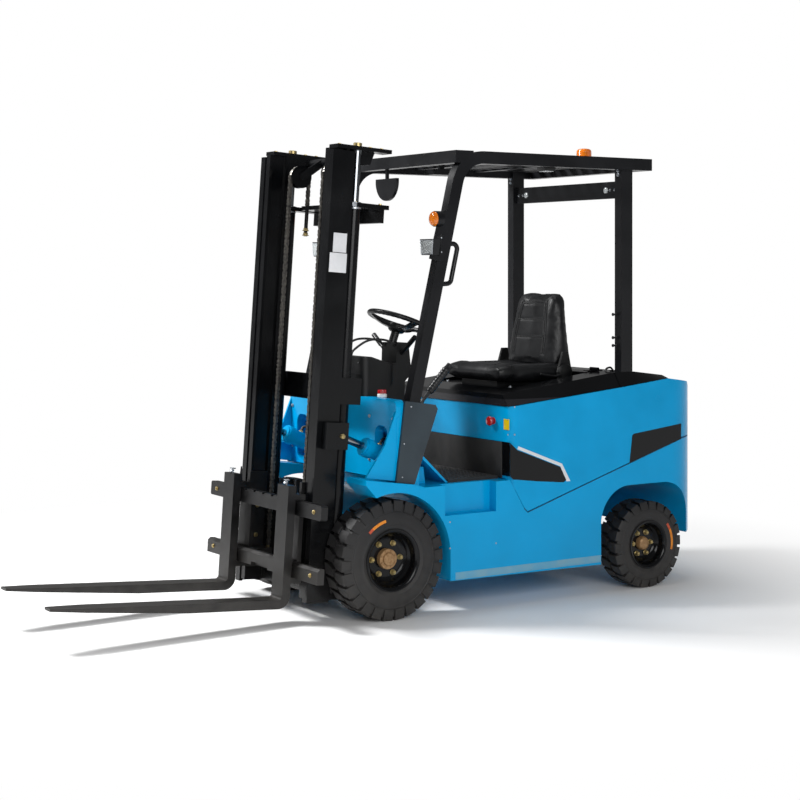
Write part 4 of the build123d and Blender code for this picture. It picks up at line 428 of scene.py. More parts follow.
class Shape:
    """A mesh in the making, drawn in millimetres in one frame of the truck."""

    def __init__(self, frame: Matrix) -> None:
        """Starts an empty mesh in that frame."""
        self.mesh = bmesh.new()
        self.frame = frame

    def rings(self, rings: list[list[Vector]], loop: bool = False, caps: bool = True) -> None:
        """Skins a run of rings that have equal numbers of points.

        Args:
            rings: The rings in order.
            loop: Whether the last joins the first.
            caps: Whether the two ends are closed.
        """
        rows = [[self.mesh.verts.new(p) for p in ring] for ring in rings]
        count = len(rows[0])
        pairs = list(zip(rows, rows[1:] + rows[:1])) if loop else list(zip(rows, rows[1:]))
        for a, b in pairs:
            for i in range(count):
                j = (i + 1) % count
                self.mesh.faces.new((a[i], a[j], b[j], b[i]))
        if caps and not loop:
            self.mesh.faces.new(rows[0][::-1])
            self.mesh.faces.new(rows[-1])

    def lathe(self, profile: Sequence[Flat], centre: Point, axis: Point, steps: int = 48,
              loop: bool = False) -> None:
        """Turns a profile about an axis.

        Args:
            profile: Points of (distance along the axis, radius).
            centre: Where the axis starts.
            axis: Its direction.
            steps: Pieces round it.
            loop: Whether the profile closes on itself.
        """
        along = Vector(axis).normalized()
        side = along.orthogonal().normalized()
        other = along.cross(side)
        turns = [2 * pi * i / steps for i in range(steps)]
        rings = []
        for reach, radius in profile:
            foot = Vector(centre) + along * reach
            r = max(radius, 0.01)
            rings.append([foot + side * (r * cos(t)) + other * (r * sin(t)) for t in turns])
        self.rings(rings, loop)

    def tube(self, run: Sequence[Vector], radius: float, steps: int = 12,
             loop: bool = False) -> None:
        """Sweeps a round tube along a run of points.

        Args:
            run: Points of its centreline.
            radius: Its radius.
            steps: Pieces round it.
            loop: Whether the run closes on itself.
        """
        points = [Vector(p) for p in run]
        count = len(points)
        side = None
        rings = []
        for i, point in enumerate(points):
            before = points[i - 1] if i or loop else point
            after = points[(i + 1) % count] if i < count - 1 or loop else point
            along = (after - before).normalized()
            side = along.orthogonal() if side is None else side - along * side.dot(along)
            side.normalize()
            other = along.cross(side)
            rings.append([point + radius * (side * cos(2 * pi * k / steps)
                                            + other * sin(2 * pi * k / steps))
                          for k in range(steps)])
        self.rings(rings, loop)

    def prism(self, outline: Sequence[Point], way: Point, bevel: float = 0.0) -> None:
        """Pushes a flat outline along a direction.

        Args:
            outline: Its corners in order.
            way: How far it goes, as a vector.
            bevel: Width of the rounded edges.
        """
        start = len(self.mesh.edges)
        shift = Vector(way)
        base = [Vector(p) for p in outline]
        self.rings([base, [p + shift for p in base]])
        if bevel:
            self.mesh.edges.ensure_lookup_table()
            bmesh.ops.bevel(self.mesh, geom=self.mesh.edges[start:], offset=bevel, segments=2,
                            profile=0.5, affect="EDGES", clamp_overlap=True)

    def block(self, low: Point, high: Point, bevel: float = 0.0) -> None:
        """Adds a box with rounded edges.

        Args:
            low: Its lowest corner.
            high: Its highest corner.
            bevel: Width of the rounded edges.
        """
        (x0, y0, z0), (x1, y1, z1) = low, high
        outline = [(x0, y0, z0), (x1, y0, z0), (x1, y1, z0), (x0, y1, z0)]
        self.prism(outline, (0, 0, z1 - z0), bevel)

    def screw(self, centre: Point, axis: Point, radius: float, height: float) -> None:
        """Adds a hex head on its washer, standing off a surface.

        Args:
            centre: Where it meets the surface.
            axis: Which way it stands.
            radius: Radius over its corners.
            height: Height of washer and head.
        """
        washer = [(-1.0, radius * 1.3), (height * 0.22, radius * 1.3), (height * 0.24, radius)]
        self.lathe(washer, centre, axis, 20)
        head = [(height * 0.2, radius), (height * 0.85, radius), (height, radius * 0.8)]
        self.lathe(head, centre, axis, 6)

    def rivet(self, centre: Point, axis: Point, radius: float) -> None:
        """Adds a domed round head."""
        self.lathe([(radius * 0.5 * sin(t / 4 * pi / 2) - 0.3, radius * cos(t / 4 * pi / 2))
                    for t in range(5)], centre, axis, 14)

    def piece(self, name: str, finish: Finish, body: str | None, sharp: float = 32.0,
              stands_for: tuple[str, ...] = ()) -> bpy.types.Object:
        """Ends the mesh as an object with its finish, on its body.

        Args:
            name: The piece's name.
            finish: What it is finished in.
            body: The CAD body it rides on, or None for one that is changed first or rides on no
                body.
            sharp: Degrees from which an edge stays sharp.
            stands_for: CAD nodes that it replaces.

        Returns:
            The object.
        """
        bmesh.ops.transform(self.mesh, matrix=self.frame, verts=self.mesh.verts)
        bmesh.ops.remove_doubles(self.mesh, verts=self.mesh.verts, dist=0.02 * MM)
        bmesh.ops.recalc_face_normals(self.mesh, faces=self.mesh.faces)
        for face in self.mesh.faces:
            face.smooth = True
        for edge in self.mesh.edges:
            edge.smooth = edge.calc_face_angle(0.0) < radians(sharp)
        data = bpy.data.meshes.new(name)
        self.mesh.to_mesh(data)
        self.mesh.free()
        made = bpy.data.objects.new(name, data)
        bpy.context.scene.collection.objects.link(made)
        data.materials.append(finish.material())
        if body:
            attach(made, body)
        if stands_for:
            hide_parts(*stands_for)
        LOG.info("%s: %d faces on %s", name, len(data.polygons), body)
        return made


# Wheels

@dataclass
class Wheel:
    """A solid-rubber wheel on a pressed disc rim."""

    places: Places
    name: str
    body: str
    centre: Point
    radius: float
    width: float
    rim_radius: float
    lugs: int
    nut_circle: float
    hub_radius: float
    domed_hub: bool
    side: int
    lug_depth: float = 17.0
    lug_spread: float = 0.976
    lip_height: float = 13.0
    nuts: int = 6
    stripe_from: float = 77.0
    stripe_to: float = 46.0
    stripe_width: float = 13.0
    stripe_thickness: float = 0.8
    lathe_steps: int = 96
    plate_face: float = 10.0
    stripe_joint: float = 0.75
    nut_collar: tuple[Flat, ...] = ((-1, 14), (2, 14), (4, 12))
    nut_profile: tuple[Flat, ...] = ((3, 11.5), (13, 11.5), (15.5, 9.5))
    stud_profile: tuple[Flat, ...] = ((13, 5.6), (19, 5.6), (20, 4.4))

    def frame(self) -> Matrix:
        """Drawing frame of the wheel: its axle along +Z, its outer face upwards."""
        turn = Matrix.Rotation(radians(-90 * self.side), 4, "X")
        return self.places.truck @ Matrix.Translation(self.centre) @ turn

    def shoulder(self) -> float:
        """Radius where the lugs end on the side wall."""
        return self.radius - (self.radius - self.rim_radius) * 0.38

    def carcass(self) -> bpy.types.Object:
        """Turns the tyre's body with its moulded rings and adds the two rows of lugs.

        Returns:
            The piece.
        """
        half = self.width / 2
        root = self.radius - self.lug_depth
        foot = self.shoulder()
        rim = self.rim_radius
        flank = [
            (half * 0.86, root), (half * 0.93, foot + 9), (half * 0.97, foot + 2),
            (half * 0.985, foot - 1), (half * 0.965, foot - 4), (half * 0.99, foot - 14),
            (half * 0.995, (foot + rim) / 2 + 4), (half * 0.985, rim + 33),
            (half * 0.998, rim + 30), (half * 0.985, rim + 27), (half * 0.93, rim + 14),
            (half * 0.89, rim + 3), (half * 0.87, rim + 0.3),
        ]
        profile = flank + [(-y, r) for y, r in reversed(flank)]
        tyre = Shape(self.frame())
        tyre.lathe(profile, (0, 0, 0), (0, 0, 1), self.lathe_steps, loop=True)
        for row, phase in ((1, 0.0), (-1, 0.5)):
            for lug in range(self.lugs):
                self.lug(tyre, row, 2 * pi * (lug + phase) / self.lugs)
        return tyre.piece(f"tyre_tread_{self.name}", RUBBER, self.body, 28.0,
                          (f"tyre_{self.name}",))

    def lug(self, tyre: Shape, row: int, middle: float) -> None:
        """Adds one block of the tread.

        Args:
            tyre: The mesh it goes into.
            row: 1 on the outer half, -1 on the inner.
            middle: Its angle about the axle.
        """
        half = self.width / 2
        foot = self.shoulder()
        pitch = 2 * pi / self.lugs
        outline = [
            (half * 0.05, self.radius - self.lug_depth - 5, 0.30, -0.16),
            (half * 0.05, self.radius - 1.0, 0.27, -0.16),
            (half * 0.42, self.radius, 0.38, 0.0),
            (half * 0.90, self.radius - 0.5, 0.40, 0.06),
            (half * 0.935, self.radius - 4.0, 0.40, 0.06),
            (half * 0.995, foot + 4, 0.41, 0.06),
            (half * 0.90, foot + 1, 0.41, 0.06),
            (half * 0.70, self.radius - self.lug_depth - 5, 0.41, 0.04),
        ]
        rings = []
        for end in (-1, 1):
            ring = []
            for y, r, share, slew in outline:
                turn = middle + pitch * (slew * row + end * share * self.lug_spread)
                ring.append(Vector((r * cos(turn), r * sin(turn), row * y)))
            rings.append(ring)
        start = len(tyre.mesh.edges)
        tyre.rings(rings)
        tyre.mesh.edges.ensure_lookup_table()
        bmesh.ops.bevel(tyre.mesh, geom=tyre.mesh.edges[start:], offset=2.2, segments=1,
                        profile=0.5, affect="EDGES", clamp_overlap=True)

    def stripes(self) -> list[bpy.types.Object]:
        """Lays the painted arc on the outer side wall, in its two colours.

        Returns:
            The orange piece and the red one.
        """
        half = self.width / 2
        inner = (self.shoulder() + self.rim_radius) / 2 + 5
        made = []
        start, end = -self.side * self.stripe_from, -self.side * self.stripe_to
        joint = start + (end - start) * self.stripe_joint
        spans = (("orange", start, joint, TYRE_STRIPE), ("red", joint, end, TYRE_STRIPE_RED))
        for tint, start, end, finish in spans:
            band = Shape(self.frame())
            outer = arc(inner + self.stripe_width, start, end, 10)
            back = arc(inner, end, start, 10)
            band.prism([(x, y, half * 0.996) for x, y in outer + back],
                       (0, 0, self.stripe_thickness))
            made.append(band.piece(f"tyre_strip_{tint}_{self.name}", finish, self.body))
        return made

    def rim(self) -> bpy.types.Object:
        """Turns the dished rim and its rolled lip.

        Returns:
            The piece.
        """
        half = self.width / 2
        r = self.rim_radius
        seat = half * 0.88
        section = [
            (-seat, r - 8), (-seat - 5, r + 8), (-seat - 8, r + 9), (-seat - 7, r + 3),
            (-seat, r - 0.5),
            (seat, r - 0.5), (seat + 4, r + 3), (seat + 5.5, r + self.lip_height - 1),
            (seat + 8, r + self.lip_height), (seat + 8.6, r + self.lip_height - 3),
            (seat + 6, r + 1), (seat, r - 5), (seat - 8, r - 8.5), (half * 0.52, r - 10),
            (half * 0.44, r - 14), (half * 0.40, r - 19), (half * 0.30, r - 23),
            (half * 0.17, r - 32), (10.5, r - 41), (10, r - 48), (10, self.hub_radius - 4),
            (1, self.hub_radius - 4), (1, r - 44), (-4, r - 14), (-seat * 0.6, r - 9),
        ]
        disc = Shape(self.frame())
        disc.lathe(section, (0, 0, 0), (0, 0, 1), self.lathe_steps, loop=True)
        return disc.piece(f"rim_disc_{self.name}", BLACK_ENAMEL, self.body, 40.0,
                          (f"rim_{self.name}",))

    def nuts_and_studs(self) -> bpy.types.Object:
        """Sets the hex nuts, their collars and the stud ends.

        Returns:
            The piece.
        """
        ring = Shape(self.frame())
        for nut in range(self.nuts):
            turn = 2 * pi * nut / self.nuts
            at = (self.nut_circle * cos(turn), self.nut_circle * sin(turn), self.plate_face)
            ring.lathe(self.nut_collar, at, (0, 0, 1), 24)
            ring.lathe(self.nut_profile, at, (0, 0, 1), 6)
            ring.lathe(self.stud_profile, at, (0, 0, 1), 14)
        return ring.piece(f"wheel_nuts_{self.name}", ZINC, self.body)

    def hub(self) -> bpy.types.Object:
        """Turns the hub: a bolted flange in front, a plain dome behind.

        Returns:
            The piece.
        """
        half = self.width / 2
        r = self.hub_radius
        shape = Shape(self.frame())
        if self.domed_hub:
            shape.lathe([(-half * 0.8, r), (10, r), (half * 0.34, r), (half * 0.40, r * 0.96),
                         (half * 0.52, r * 0.86), (half * 0.60, r * 0.62), (half * 0.635, r * 0.3),
                         (half * 0.64, 0)], (0, 0, 0), (0, 0, 1), 48)
        else:
            shape.lathe([(-half * 0.8, r), (half * 0.40, r), (half * 0.44, r * 0.97),
                         (half * 0.445, r * 0.66), (half * 0.53, r * 0.62),
                         (half * 0.56, r * 0.56), (half * 0.565, r * 0.16),
                         (half * 0.59, r * 0.12), (half * 0.592, 0)],
                        (0, 0, 0), (0, 0, 1), 48)
            for bolt in range(8):
                turn = 2 * pi * (bolt + 0.5) / 8
                at = (r * 0.82 * cos(turn), r * 0.82 * sin(turn), half * 0.44)
                shape.screw(at, (0, 0, 1), 4.2, 5.5)
        return shape.piece(f"wheel_hub_{self.name}", HUB_IRON, self.body)

    def build(self) -> None:
        """Builds the whole wheel."""
        self.carcass()
        self.stripes()
        self.rim()
        self.nuts_and_studs()
        self.hub()


def all_wheels(places: Places) -> list[Wheel]:
    """Lists the four wheels with their measures.

    Args:
        places: The drawing frames.

    Returns:
        The wheels, left ones first.
    """
    wheels = []
    for name, side in (("left", 1), ("right", -1)):
        wheels.append(Wheel(places, f"front_{name}", f"wheel_front_{name}", (0, side * 433, 271),
                            271, 160, 128, 26, 76, 46, False, side))
        wheels.append(Wheel(places, f"rear_{name}", f"wheel_rear_{name}", (-1484, side * 469, 214),
                            214, 140, 106, 22, 58, 34, True, side,
                            stripe_from=194.0, stripe_to=142.0))
    return wheels


# Body, weight and hood

@dataclass
class BodyShell:
    """Painted body, its black and white films, seams and small fittings."""

    places: Places
    nodes: dict[str, bpy.types.Object]
    side_y: float = 522.0
    film: float = 0.7
    catch_y: float = 385
    box_front_x: float = -640
    catch_half_width: float = 14
    catch_foot_x: Flat = (-1394, -1370)
    catch_foot_z: Flat = (1066, 1073)
    wedge: tuple[Flat, ...] = (
        (-641, 606), (-641, 762), (-683, 727), (-940, 631), (-976, 566), (-960, 556),
        (-800, 572), (-660, 590),
    )
    stripe: tuple[Flat, ...] = (
        (-683, 731), (-690, 744), (-950, 646), (-1000, 560), (-976, 560), (-940, 634),
    )
    band: tuple[Flat, ...] = (
        (-1372, 624), (-1390, 758), (-1400, 765), (-1712, 800), (-1712, 722),
    )
    panel_low: Point = (-640.2, -521.5, 606)
    panel_high: Point = (-638.6, 521.5, 764)
    seam: tuple[Flat, ...] = ((-724, 449), (-744, 429), (-1240, 581), (-1655, 707))
    seam_radius: float = 1.6
    edge_rivets_z: tuple[float, ...] = (800, 868, 936)
    edge_rivets_y: float = 506
    rivet_radius: float = 4.5
    side_rivets: tuple[Flat, ...] = (
        (-668, 930), (-668, 800), (-300, 300), (-560, 300), (-300, 420),
    )
    button_profile: tuple[Flat, ...] = (
        (0, 17), (3, 17), (4, 12), (14, 12), (16, 21), (24, 23), (30, 20), (33, 10), (33.5, 0),
    )
    button_place: Point = (-640, 391, 857)
    plate_low: Point = (-640, 474, 822)
    plate_high: Point = (-638.8, 517, 872)
    sill_front: float = -330
    sill_run: Point = (-860, 0, 0)
    sill_section: tuple[Flat, ...] = ((0, 152), (0.8, 156), (0.8, 182), (0, 186))
    catch_run: tuple[Flat, ...] = ((-1332, 1066), (-1342, 1082), (-1366, 1086), (-1382, 1072))

    def side_film(self, name: str, finish: Finish, outline: Sequence[Flat]) -> None:
        """Lays one shape of film on both flat sides of the body.

        Args:
            name: The piece's name, without its side.
            finish: Its finish.
            outline: Corners in X and Z, seen from the left.
        """
        for label, side in (("left", 1), ("right", -1)):
            film = Shape(self.places.truck)
            film.prism([(x, side * self.side_y, z) for x, z in outline],
                       (0, side * self.film, 0))
            film.piece(f"{name}_{label}", finish, "chassis")

    def films(self) -> None:
        """Cuts the black wedge, the white stripe and the rear band."""
        self.side_film("side_wedge", BLACK_FILM, self.wedge)
        self.side_film("side_stripe", WHITE_FILM, self.stripe)
        self.side_film("rear_band", BLACK_FILM, self.band)

    def front_panel(self) -> None:
        """Panels the battery box's front below the seat in black."""
        panel = Shape(self.places.truck)
        panel.block(self.panel_low, self.panel_high, 0.4)
        panel.piece("battery_box_black_panel", BLACK_FILM, "chassis")

    def seams(self) -> None:
        """Draws the seam between the battery box and the weight as a darker blue bead of painted
        shade.
        """
        for label, side in (("left", 1), ("right", -1)):
            y = side * (self.side_y + 0.3)
            seam = Shape(self.places.truck)
            seam.tube([Vector((x, y, z)) for x, z in self.seam], self.seam_radius, 8)
            seam.piece(f"body_seam_shade_{label}", SEAM_PAINTED_SHADE, "chassis")

    def rivets(self) -> None:
        """Sets the small bright rivets along the box's front edges and the sill."""
        dots = Shape(self.places.truck)
        for side in (1, -1):
            for z in self.edge_rivets_z:
                dots.rivet((self.box_front_x, side * self.edge_rivets_y, z), (1, 0, 0),
                           self.rivet_radius)
            for x, z in self.side_rivets:
                dots.rivet((x, side * self.side_y, z), (0, side, 0), self.rivet_radius)
        dots.piece("body_rivets", BRIGHT_ZINC, "chassis")

    def stop_button(self) -> None:
        """Turns the red mushroom button and its yellow blank plate."""
        button = Shape(self.places.truck)
        button.lathe(self.button_profile, self.button_place, (1, 0, 0), 40)
        button.piece("stop_button", RED_PLASTIC, "chassis")
        plate = Shape(self.places.truck)
        plate.block(self.plate_low, self.plate_high, 0.3)
        plate.piece("yellow_blank_plate", YELLOW_FILM, "chassis")

    def sill(self) -> None:
        """Adds a paler grey-blue strip along the bottom of each sill: painted sheen of the floor
        on its bevel, with dust.
        """
        for label, side in (("left", 1), ("right", -1)):
            strip = Shape(self.places.truck)
            section = [(self.sill_front, side * (self.side_y + proud), z)
                       for proud, z in self.sill_section]
            strip.prism(section, self.sill_run)
            strip.piece(f"sill_sheen_strip_{label}", SILL_SHEEN_AND_DUST, "chassis")

    def hood_fittings(self) -> None:
        """Adds the catches behind the hood's seam."""
        for label, side in (("left", 1), ("right", -1)):
            catch = Shape(self.places.truck)
            y = side * self.catch_y
            half = self.catch_half_width
            run = [(x, y, z) for x, z in self.catch_run]
            catch.tube(smooth_run(run, 6), 5, 10)
            catch.block((self.catch_foot_x[0], y - half, self.catch_foot_z[0]),
                        (self.catch_foot_x[1], y + half, self.catch_foot_z[1]), 2)
            catch.piece(f"hood_catch_{label}", POWDER_COAT, "chassis")

    def build(self) -> None:
        """Paints the CAD nodes and adds the pieces."""
        dress(self.nodes, BLUE_ENAMEL, "chassis_frame", "front_cowl")
        dress(self.nodes, CAST_ENAMEL, "counterweight")
        dress(self.nodes, BLACK_ENAMEL, "battery_hood", "hood_cap")
        dress(self.nodes, SLATE_COAT, "pillar_covers")
        dress(self.nodes, MAT_RUBBER, "floor_panel")
        dress(self.nodes, BATTERY_CASE, "battery")
        dress(self.nodes, CAST_IRON, "drive_axle", "steer_axle", "knuckle_left", "knuckle_right")
        self.films()
        self.front_panel()
        self.seams()
        self.rivets()
        self.stop_button()
        self.sill()
        self.hood_fittings()


@dataclass
class Cowl:
    """Front cowl's screws and rivets, and the brake reservoir on it."""

    places: Places
    face_x: float = -28.0
    screw_radius: float = 6.5
    screw_height: float = 6.0
    rivet_radius: float = 4.0
    panel_screws: tuple[Flat, ...] = ((463, 900), (463, 700), (262, 700), (262, 900))
    cover_rivets: tuple[Flat, ...] = ((-52, 640), (-62, 790), (-100, 955))
    cover_y: float = 504
    pot_place: Point = (-72, 300, 985.5)
    pot_profile: tuple[Flat, ...] = ((0, 20), (2, 22), (14, 22), (18, 19), (20, 15))
    cap_profile: tuple[Flat, ...] = ((19, 21), (32, 21), (35, 18), (35.5, 0))

    def screws(self) -> None:
        """Sets the screws of the cowl's panels and of the slate covers."""
        heads = Shape(self.places.truck)
        for side in (1, -1):
            for y, z in self.panel_screws:
                heads.screw((self.face_x, side * y, z), (1, 0, 0), self.screw_radius,
                            self.screw_height)
            for x, z in self.cover_rivets:
                heads.rivet((x, side * self.cover_y, z), (0, side, 0), self.rivet_radius)
        heads.piece("cowl_screws", BRIGHT_ZINC, "chassis")

    def reservoir(self) -> None:
        """Turns the white reservoir on the cowl and its red cap."""
        pot = Shape(self.places.truck)
        pot.lathe(self.pot_profile, self.pot_place, (0, 0, 1), 32)
        pot.piece("brake_reservoir", WHITE_PE, "chassis")
        cap = Shape(self.places.truck)
        cap.lathe(self.cap_profile, self.pot_place, (0, 0, 1), 24)
        cap.piece("brake_reservoir_cap", RED_PLASTIC, "chassis")

    def build(self) -> None:
        """Builds the cowl's pieces."""
        self.screws()
        self.reservoir()


# Mast, chains and forks

@dataclass
class Mast:
    """Finishes of both mast frames, their screws, plates, rollers and hoses."""

    places: Places
    nodes: dict[str, bpy.types.Object]
    web_y: float = 343.0
    plate_x: Flat = (236.0, 326.0)
    plate_z: Flat = (1552.0, 1730.0)
    plate_split: float = 88.0
    tilt_pin: Point = (232, 391, 820)
    tie_back_x: float = 117.8
    tie_screws_y: float = 250
    plate_screws_y: float = 318
    plate_top_z: float = 1876
    head_top_z: float = 2133
    barrel_x: float = 190
    roller_y: float = 300
    cap_z: Flat = (1857, 1875)
    rear_cap_y: Flat = (343.2, 344.4)
    front_cap_y: Flat = (282, 340)
    foot_union_y: float = 276
    bracket_screws: tuple[Flat, ...] = ((214, 772), (214, 868), (298, 772), (298, 868))
    bracket_y: float = 353
    pin_nut: tuple[Flat, ...] = ((0, 13), (6, 13), (8, 11), (11, 11), (12, 6))
    tie_screws_z: tuple[float, ...] = (985, 1055)
    plate_screws_x: tuple[float, ...] = (60, 190)
    head_screws_x: tuple[float, ...] = (60, 120, 285)
    head_pin: tuple[Flat, ...] = ((0, 20), (17, 20), (19, 17), (20, 0))
    guide_rollers: tuple[tuple[str, str, float], ...] = (
        ("foot", "lift_frame", 150), ("head", "mast", 2050),
    )
    roller_profile: tuple[Flat, ...] = ((-3, 30), (-2, 40), (2, 40), (3, 30), (3.4, 14), (4, 0))
    roller_x: float = 281
    gland: tuple[Flat, ...] = ((0, 33), (16, 33), (18, 35), (30, 35), (31, 24))
    gland_z: float = 1848
    union: tuple[Flat, ...] = ((0, 9), (18, 9), (18, 12), (26, 12), (26, 7), (30, 7))
    foot_hose: tuple[Point, ...] = (
        (190, 250, 190), (160, 215, 196), (132, 120, 214), (128, 0, 206), (132, -120, 214),
        (160, -215, 196), (190, -250, 190),
    )
    rising_hoses_y: tuple[float, ...] = (206, 228)
    rising_hose: tuple[Flat, ...] = (
        (150, 250), (158, 500), (160, 900), (156, 1300), (160, 1700), (150, 1840),
    )
    hose_radius: float = 7.5
    rail_middle_y: float = 303

    def plates(self) -> None:
        """Lays the blank white plates on the outer webs."""
        for label, side in (("left", 1), ("right", -1)):
            plate = Shape(self.places.mast)
            y = side * self.web_y
            low, high = sorted((y - side * 0.2, y + side * 0.9))
            split = self.plate_z[0] + self.plate_split
            plate.block((self.plate_x[0], low, self.plate_z[0]),
                        (self.plate_x[1], high, split), 0.3)
            plate.block((self.plate_x[0] + 6, low, split + 3),
                        (self.plate_x[1] - 14, high, self.plate_z[1]), 0.3)
            plate.piece(f"mast_blank_plate_{label}", WHITE_FILM, "mast")

    def screws(self) -> None:
        """Sets the hex screws of ties, brackets and the head."""
        fixed = Shape(self.places.mast)
        moving = Shape(self.places.mast)
        for side in (1, -1):
            pin_x, pin_y, pin_z = self.tilt_pin
            for x, z in self.bracket_screws:
                fixed.screw((x, side * self.bracket_y, z), (0, side, 0), 6.0, 6)
            fixed.lathe(self.pin_nut, (pin_x, side * pin_y, pin_z), (0, side, 0), 6)
            for z in self.tie_screws_z:
                fixed.screw((self.tie_back_x, side * self.tie_screws_y, z), (-1, 0, 0), 8, 8)
            for x in self.plate_screws_x:
                fixed.screw((x, side * self.plate_screws_y, self.plate_top_z), (0, 0, 1), 8, 7)
            for x in self.head_screws_x:
                moving.screw((x, side * self.roller_y, self.head_top_z), (0, 0, 1), 8, 7)
            moving.lathe(self.head_pin, (self.barrel_x, side * self.rail_middle_y,
                                         self.head_top_z - 1), (0, 0, 1), 24)
        fixed.piece("mast_screws", ZINC, "mast")
        moving.piece("mast_head_screws", ZINC, "lift_frame")

    def tie_ends(self) -> None:
        """Caps the ends of the ties, which are bare bright metal."""
        caps = Shape(self.places.mast)
        for side in (1, -1):
            for x0, x1, reach in ((200, 223, self.rear_cap_y), (24.8, 26, self.front_cap_y)):
                y0, y1 = sorted(side * y for y in reach)
                caps.block((x0, y0, self.cap_z[0]), (x1, y1, self.cap_z[1]), 0.3)
        caps.piece("tie_bright_ends", BRIGHT_ZINC, "mast")

    def rollers(self) -> None:
        """Turns the guide rollers between the rails."""
        for name, body, z in self.guide_rollers:
            pair = Shape(self.places.mast)
            for side in (1, -1):
                pair.lathe(self.roller_profile, (self.roller_x, side * self.roller_y, z),
                           (0, side, 0), 40)
            pair.piece(f"mast_rollers_{name}", CHAIN_STEEL, body)

    def glands(self) -> None:
        """Turns the glands and unions of the lift cylinders."""
        rings = Shape(self.places.mast)
        for side in (1, -1):
            x = self.barrel_x
            rings.lathe(self.gland, (x, side * self.rail_middle_y, self.gland_z), (0, 0, 1), 32)
            rings.lathe(self.union, (x, side * self.foot_union_y, 190), (0, -side, 0), 6)
        rings.piece("lift_cylinder_glands", BRIGHT_ZINC, "mast")

    def hoses(self) -> None:
        """Runs the lift hose across the foot and the pair up the mast's middle tie."""
        run = Shape(self.places.mast)
        run.tube(smooth_run(self.foot_hose, 10), 8, 12)
        for y in self.rising_hoses_y:
            points = [(x, y, z) for x, z in self.rising_hose]
            run.tube(smooth_run(points, 12), self.hose_radius, 12)
        run.piece("mast_hoses", HOSE_RUBBER, "mast")

    def build(self) -> None:
        """Paints the mast's CAD nodes and adds the pieces."""
        dress(self.nodes, MAST_ENAMEL, "outer_rails", "outer_ties", "inner_rails", "inner_ties",
              "lift_barrels")
        dress(self.nodes, CHROME, "lift_rods", "tilt_rod_left", "tilt_rod_right")
        dress(self.nodes, BLACK_ENAMEL, "chain_pulleys")
        self.plates()
        self.screws()
        self.tie_ends()
        self.rollers()
        self.glands()
        self.hoses()


@dataclass
class LeafChain:
    """Leaf chains: pairs of plates on pins, hung in straight strands and a turn over the pulleys.
    """

    places: Places
    pitch: float = 19.05
    gauge: float = 22.0
    plate: float = 16.0
    leaf_radius: float = 1.9
    leaf_thickness: float = 2.4
    chain_y: float = 155.0
    front_x: float = 275
    back_x: float = 175
    pulley_z: float = 2012
    pulley_x: float = 225
    pulley_radius: float = 50
    odd_rows: tuple[float, ...] = (-9, -3, 3, 9)
    even_rows: tuple[float, ...] = (-6, 0, 6)
    all_rows: tuple[float, ...] = (-9, -6, -3, 0, 3, 6, 9)
    anchor_nuts_z: tuple[float, ...] = (1736, 1758)
    front_foot_z: float = 250
    back_foot_z: float = 1862
    pin_radius: float = 3.4

    def pin(self) -> list[Flat]:
        """Profile of one pin, as long as the chain is wide."""
        return [(0, self.pin_radius), (self.gauge, self.pin_radius)]

    def strand(self, x: float, low: float, high: float) -> Shape:
        """Draws both strands at one side of the pulleys.

        Args:
            x: Where they hang, in the mast's frame.
            low: Foot of the strand.
            high: Head of the strand.

        Returns:
            The mesh.
        """
        links = Shape(self.places.mast)
        pin_profile = self.pin()
        count = int((high - low) / self.pitch)
        pitch = (high - low) / count
        for side in (1, -1):
            for link in range(count):
                z = low + pitch * (link + 0.5)
                rows = self.odd_rows if link % 2 else self.even_rows
                for row in rows:
                    y = side * self.chain_y + row
                    self.leaf(links, x, y, z, pitch)
            for pin in range(count + 1):
                foot = (x, side * self.chain_y - self.gauge / 2, low + pitch * pin)
                links.lathe(pin_profile, foot, (0, 1, 0), 8)
        return links

    def leaf(self, links: Shape, x: float, y: float, z: float, pitch: float) -> None:
        """Adds one waisted plate of the chain.

        Args:
            links: The mesh it goes into.
            x: Its place forwards, in the mast's frame.
            y: Its place sideways.
            z: Its middle's height.
            pitch: Distance between its two pins.
        """
        half = self.plate / 2
        outline = []
        for end in (1, -1):
            outline += [(x + end * half * 0.62, y, z - end * pitch * 0.16),
                        (x + end * half * 0.9, y, z + end * pitch * 0.2),
                        (x + end * half * 0.9, y, z + end * pitch * 0.62),
                        (x, y, z + end * pitch * 0.82),
                        (x - end * half * 0.9, y, z + end * pitch * 0.62),
                        (x - end * half * 0.9, y, z + end * pitch * 0.2)]
        base = [(px, py - self.leaf_thickness / 2, pz) for px, py, pz in outline]
        links.prism(base, (0, self.leaf_thickness, 0))

    def build(self) -> None:
        """Builds both pairs of strands and the stretch over the pulleys."""
        strand = self.strand(self.front_x, self.front_foot_z, self.pulley_z)
        front = strand.piece("lift_chain_front", CHAIN_STEEL, None, 40.0)
        mast = self.places.mast
        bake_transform(front)
        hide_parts("chain_front")
        strand = self.strand(self.back_x, self.back_foot_z, self.pulley_z)
        back = strand.piece("lift_chain_back", CHAIN_STEEL, None, 40.0)
        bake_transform(back)
        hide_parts("chain_back")
        over = Shape(mast)
        pin_profile = self.pin()
        for side in (1, -1):
            turn = arc(self.pulley_radius, 0, 180, 10, (self.pulley_x, self.pulley_z))
            ring = [(x, side * self.chain_y, z) for x, z in turn]
            for row in self.all_rows:
                over.tube([Vector((x, y + row, z)) for x, y, z in ring], self.leaf_radius, 6)
            for x, y, z in ring:
                over.lathe(pin_profile, (x, y - self.gauge / 2, z), (0, 1, 0), 8)
        over.piece("lift_chain_over_pulleys", CHAIN_STEEL, "lift_frame")
        ends = Shape(mast)
        for side in (1, -1):
            for z in self.anchor_nuts_z:
                ends.screw((self.back_x, side * self.chain_y, z), (0, 0, 1), 12, 14)
        ends.piece("chain_anchor_nuts", ZINC, "mast")


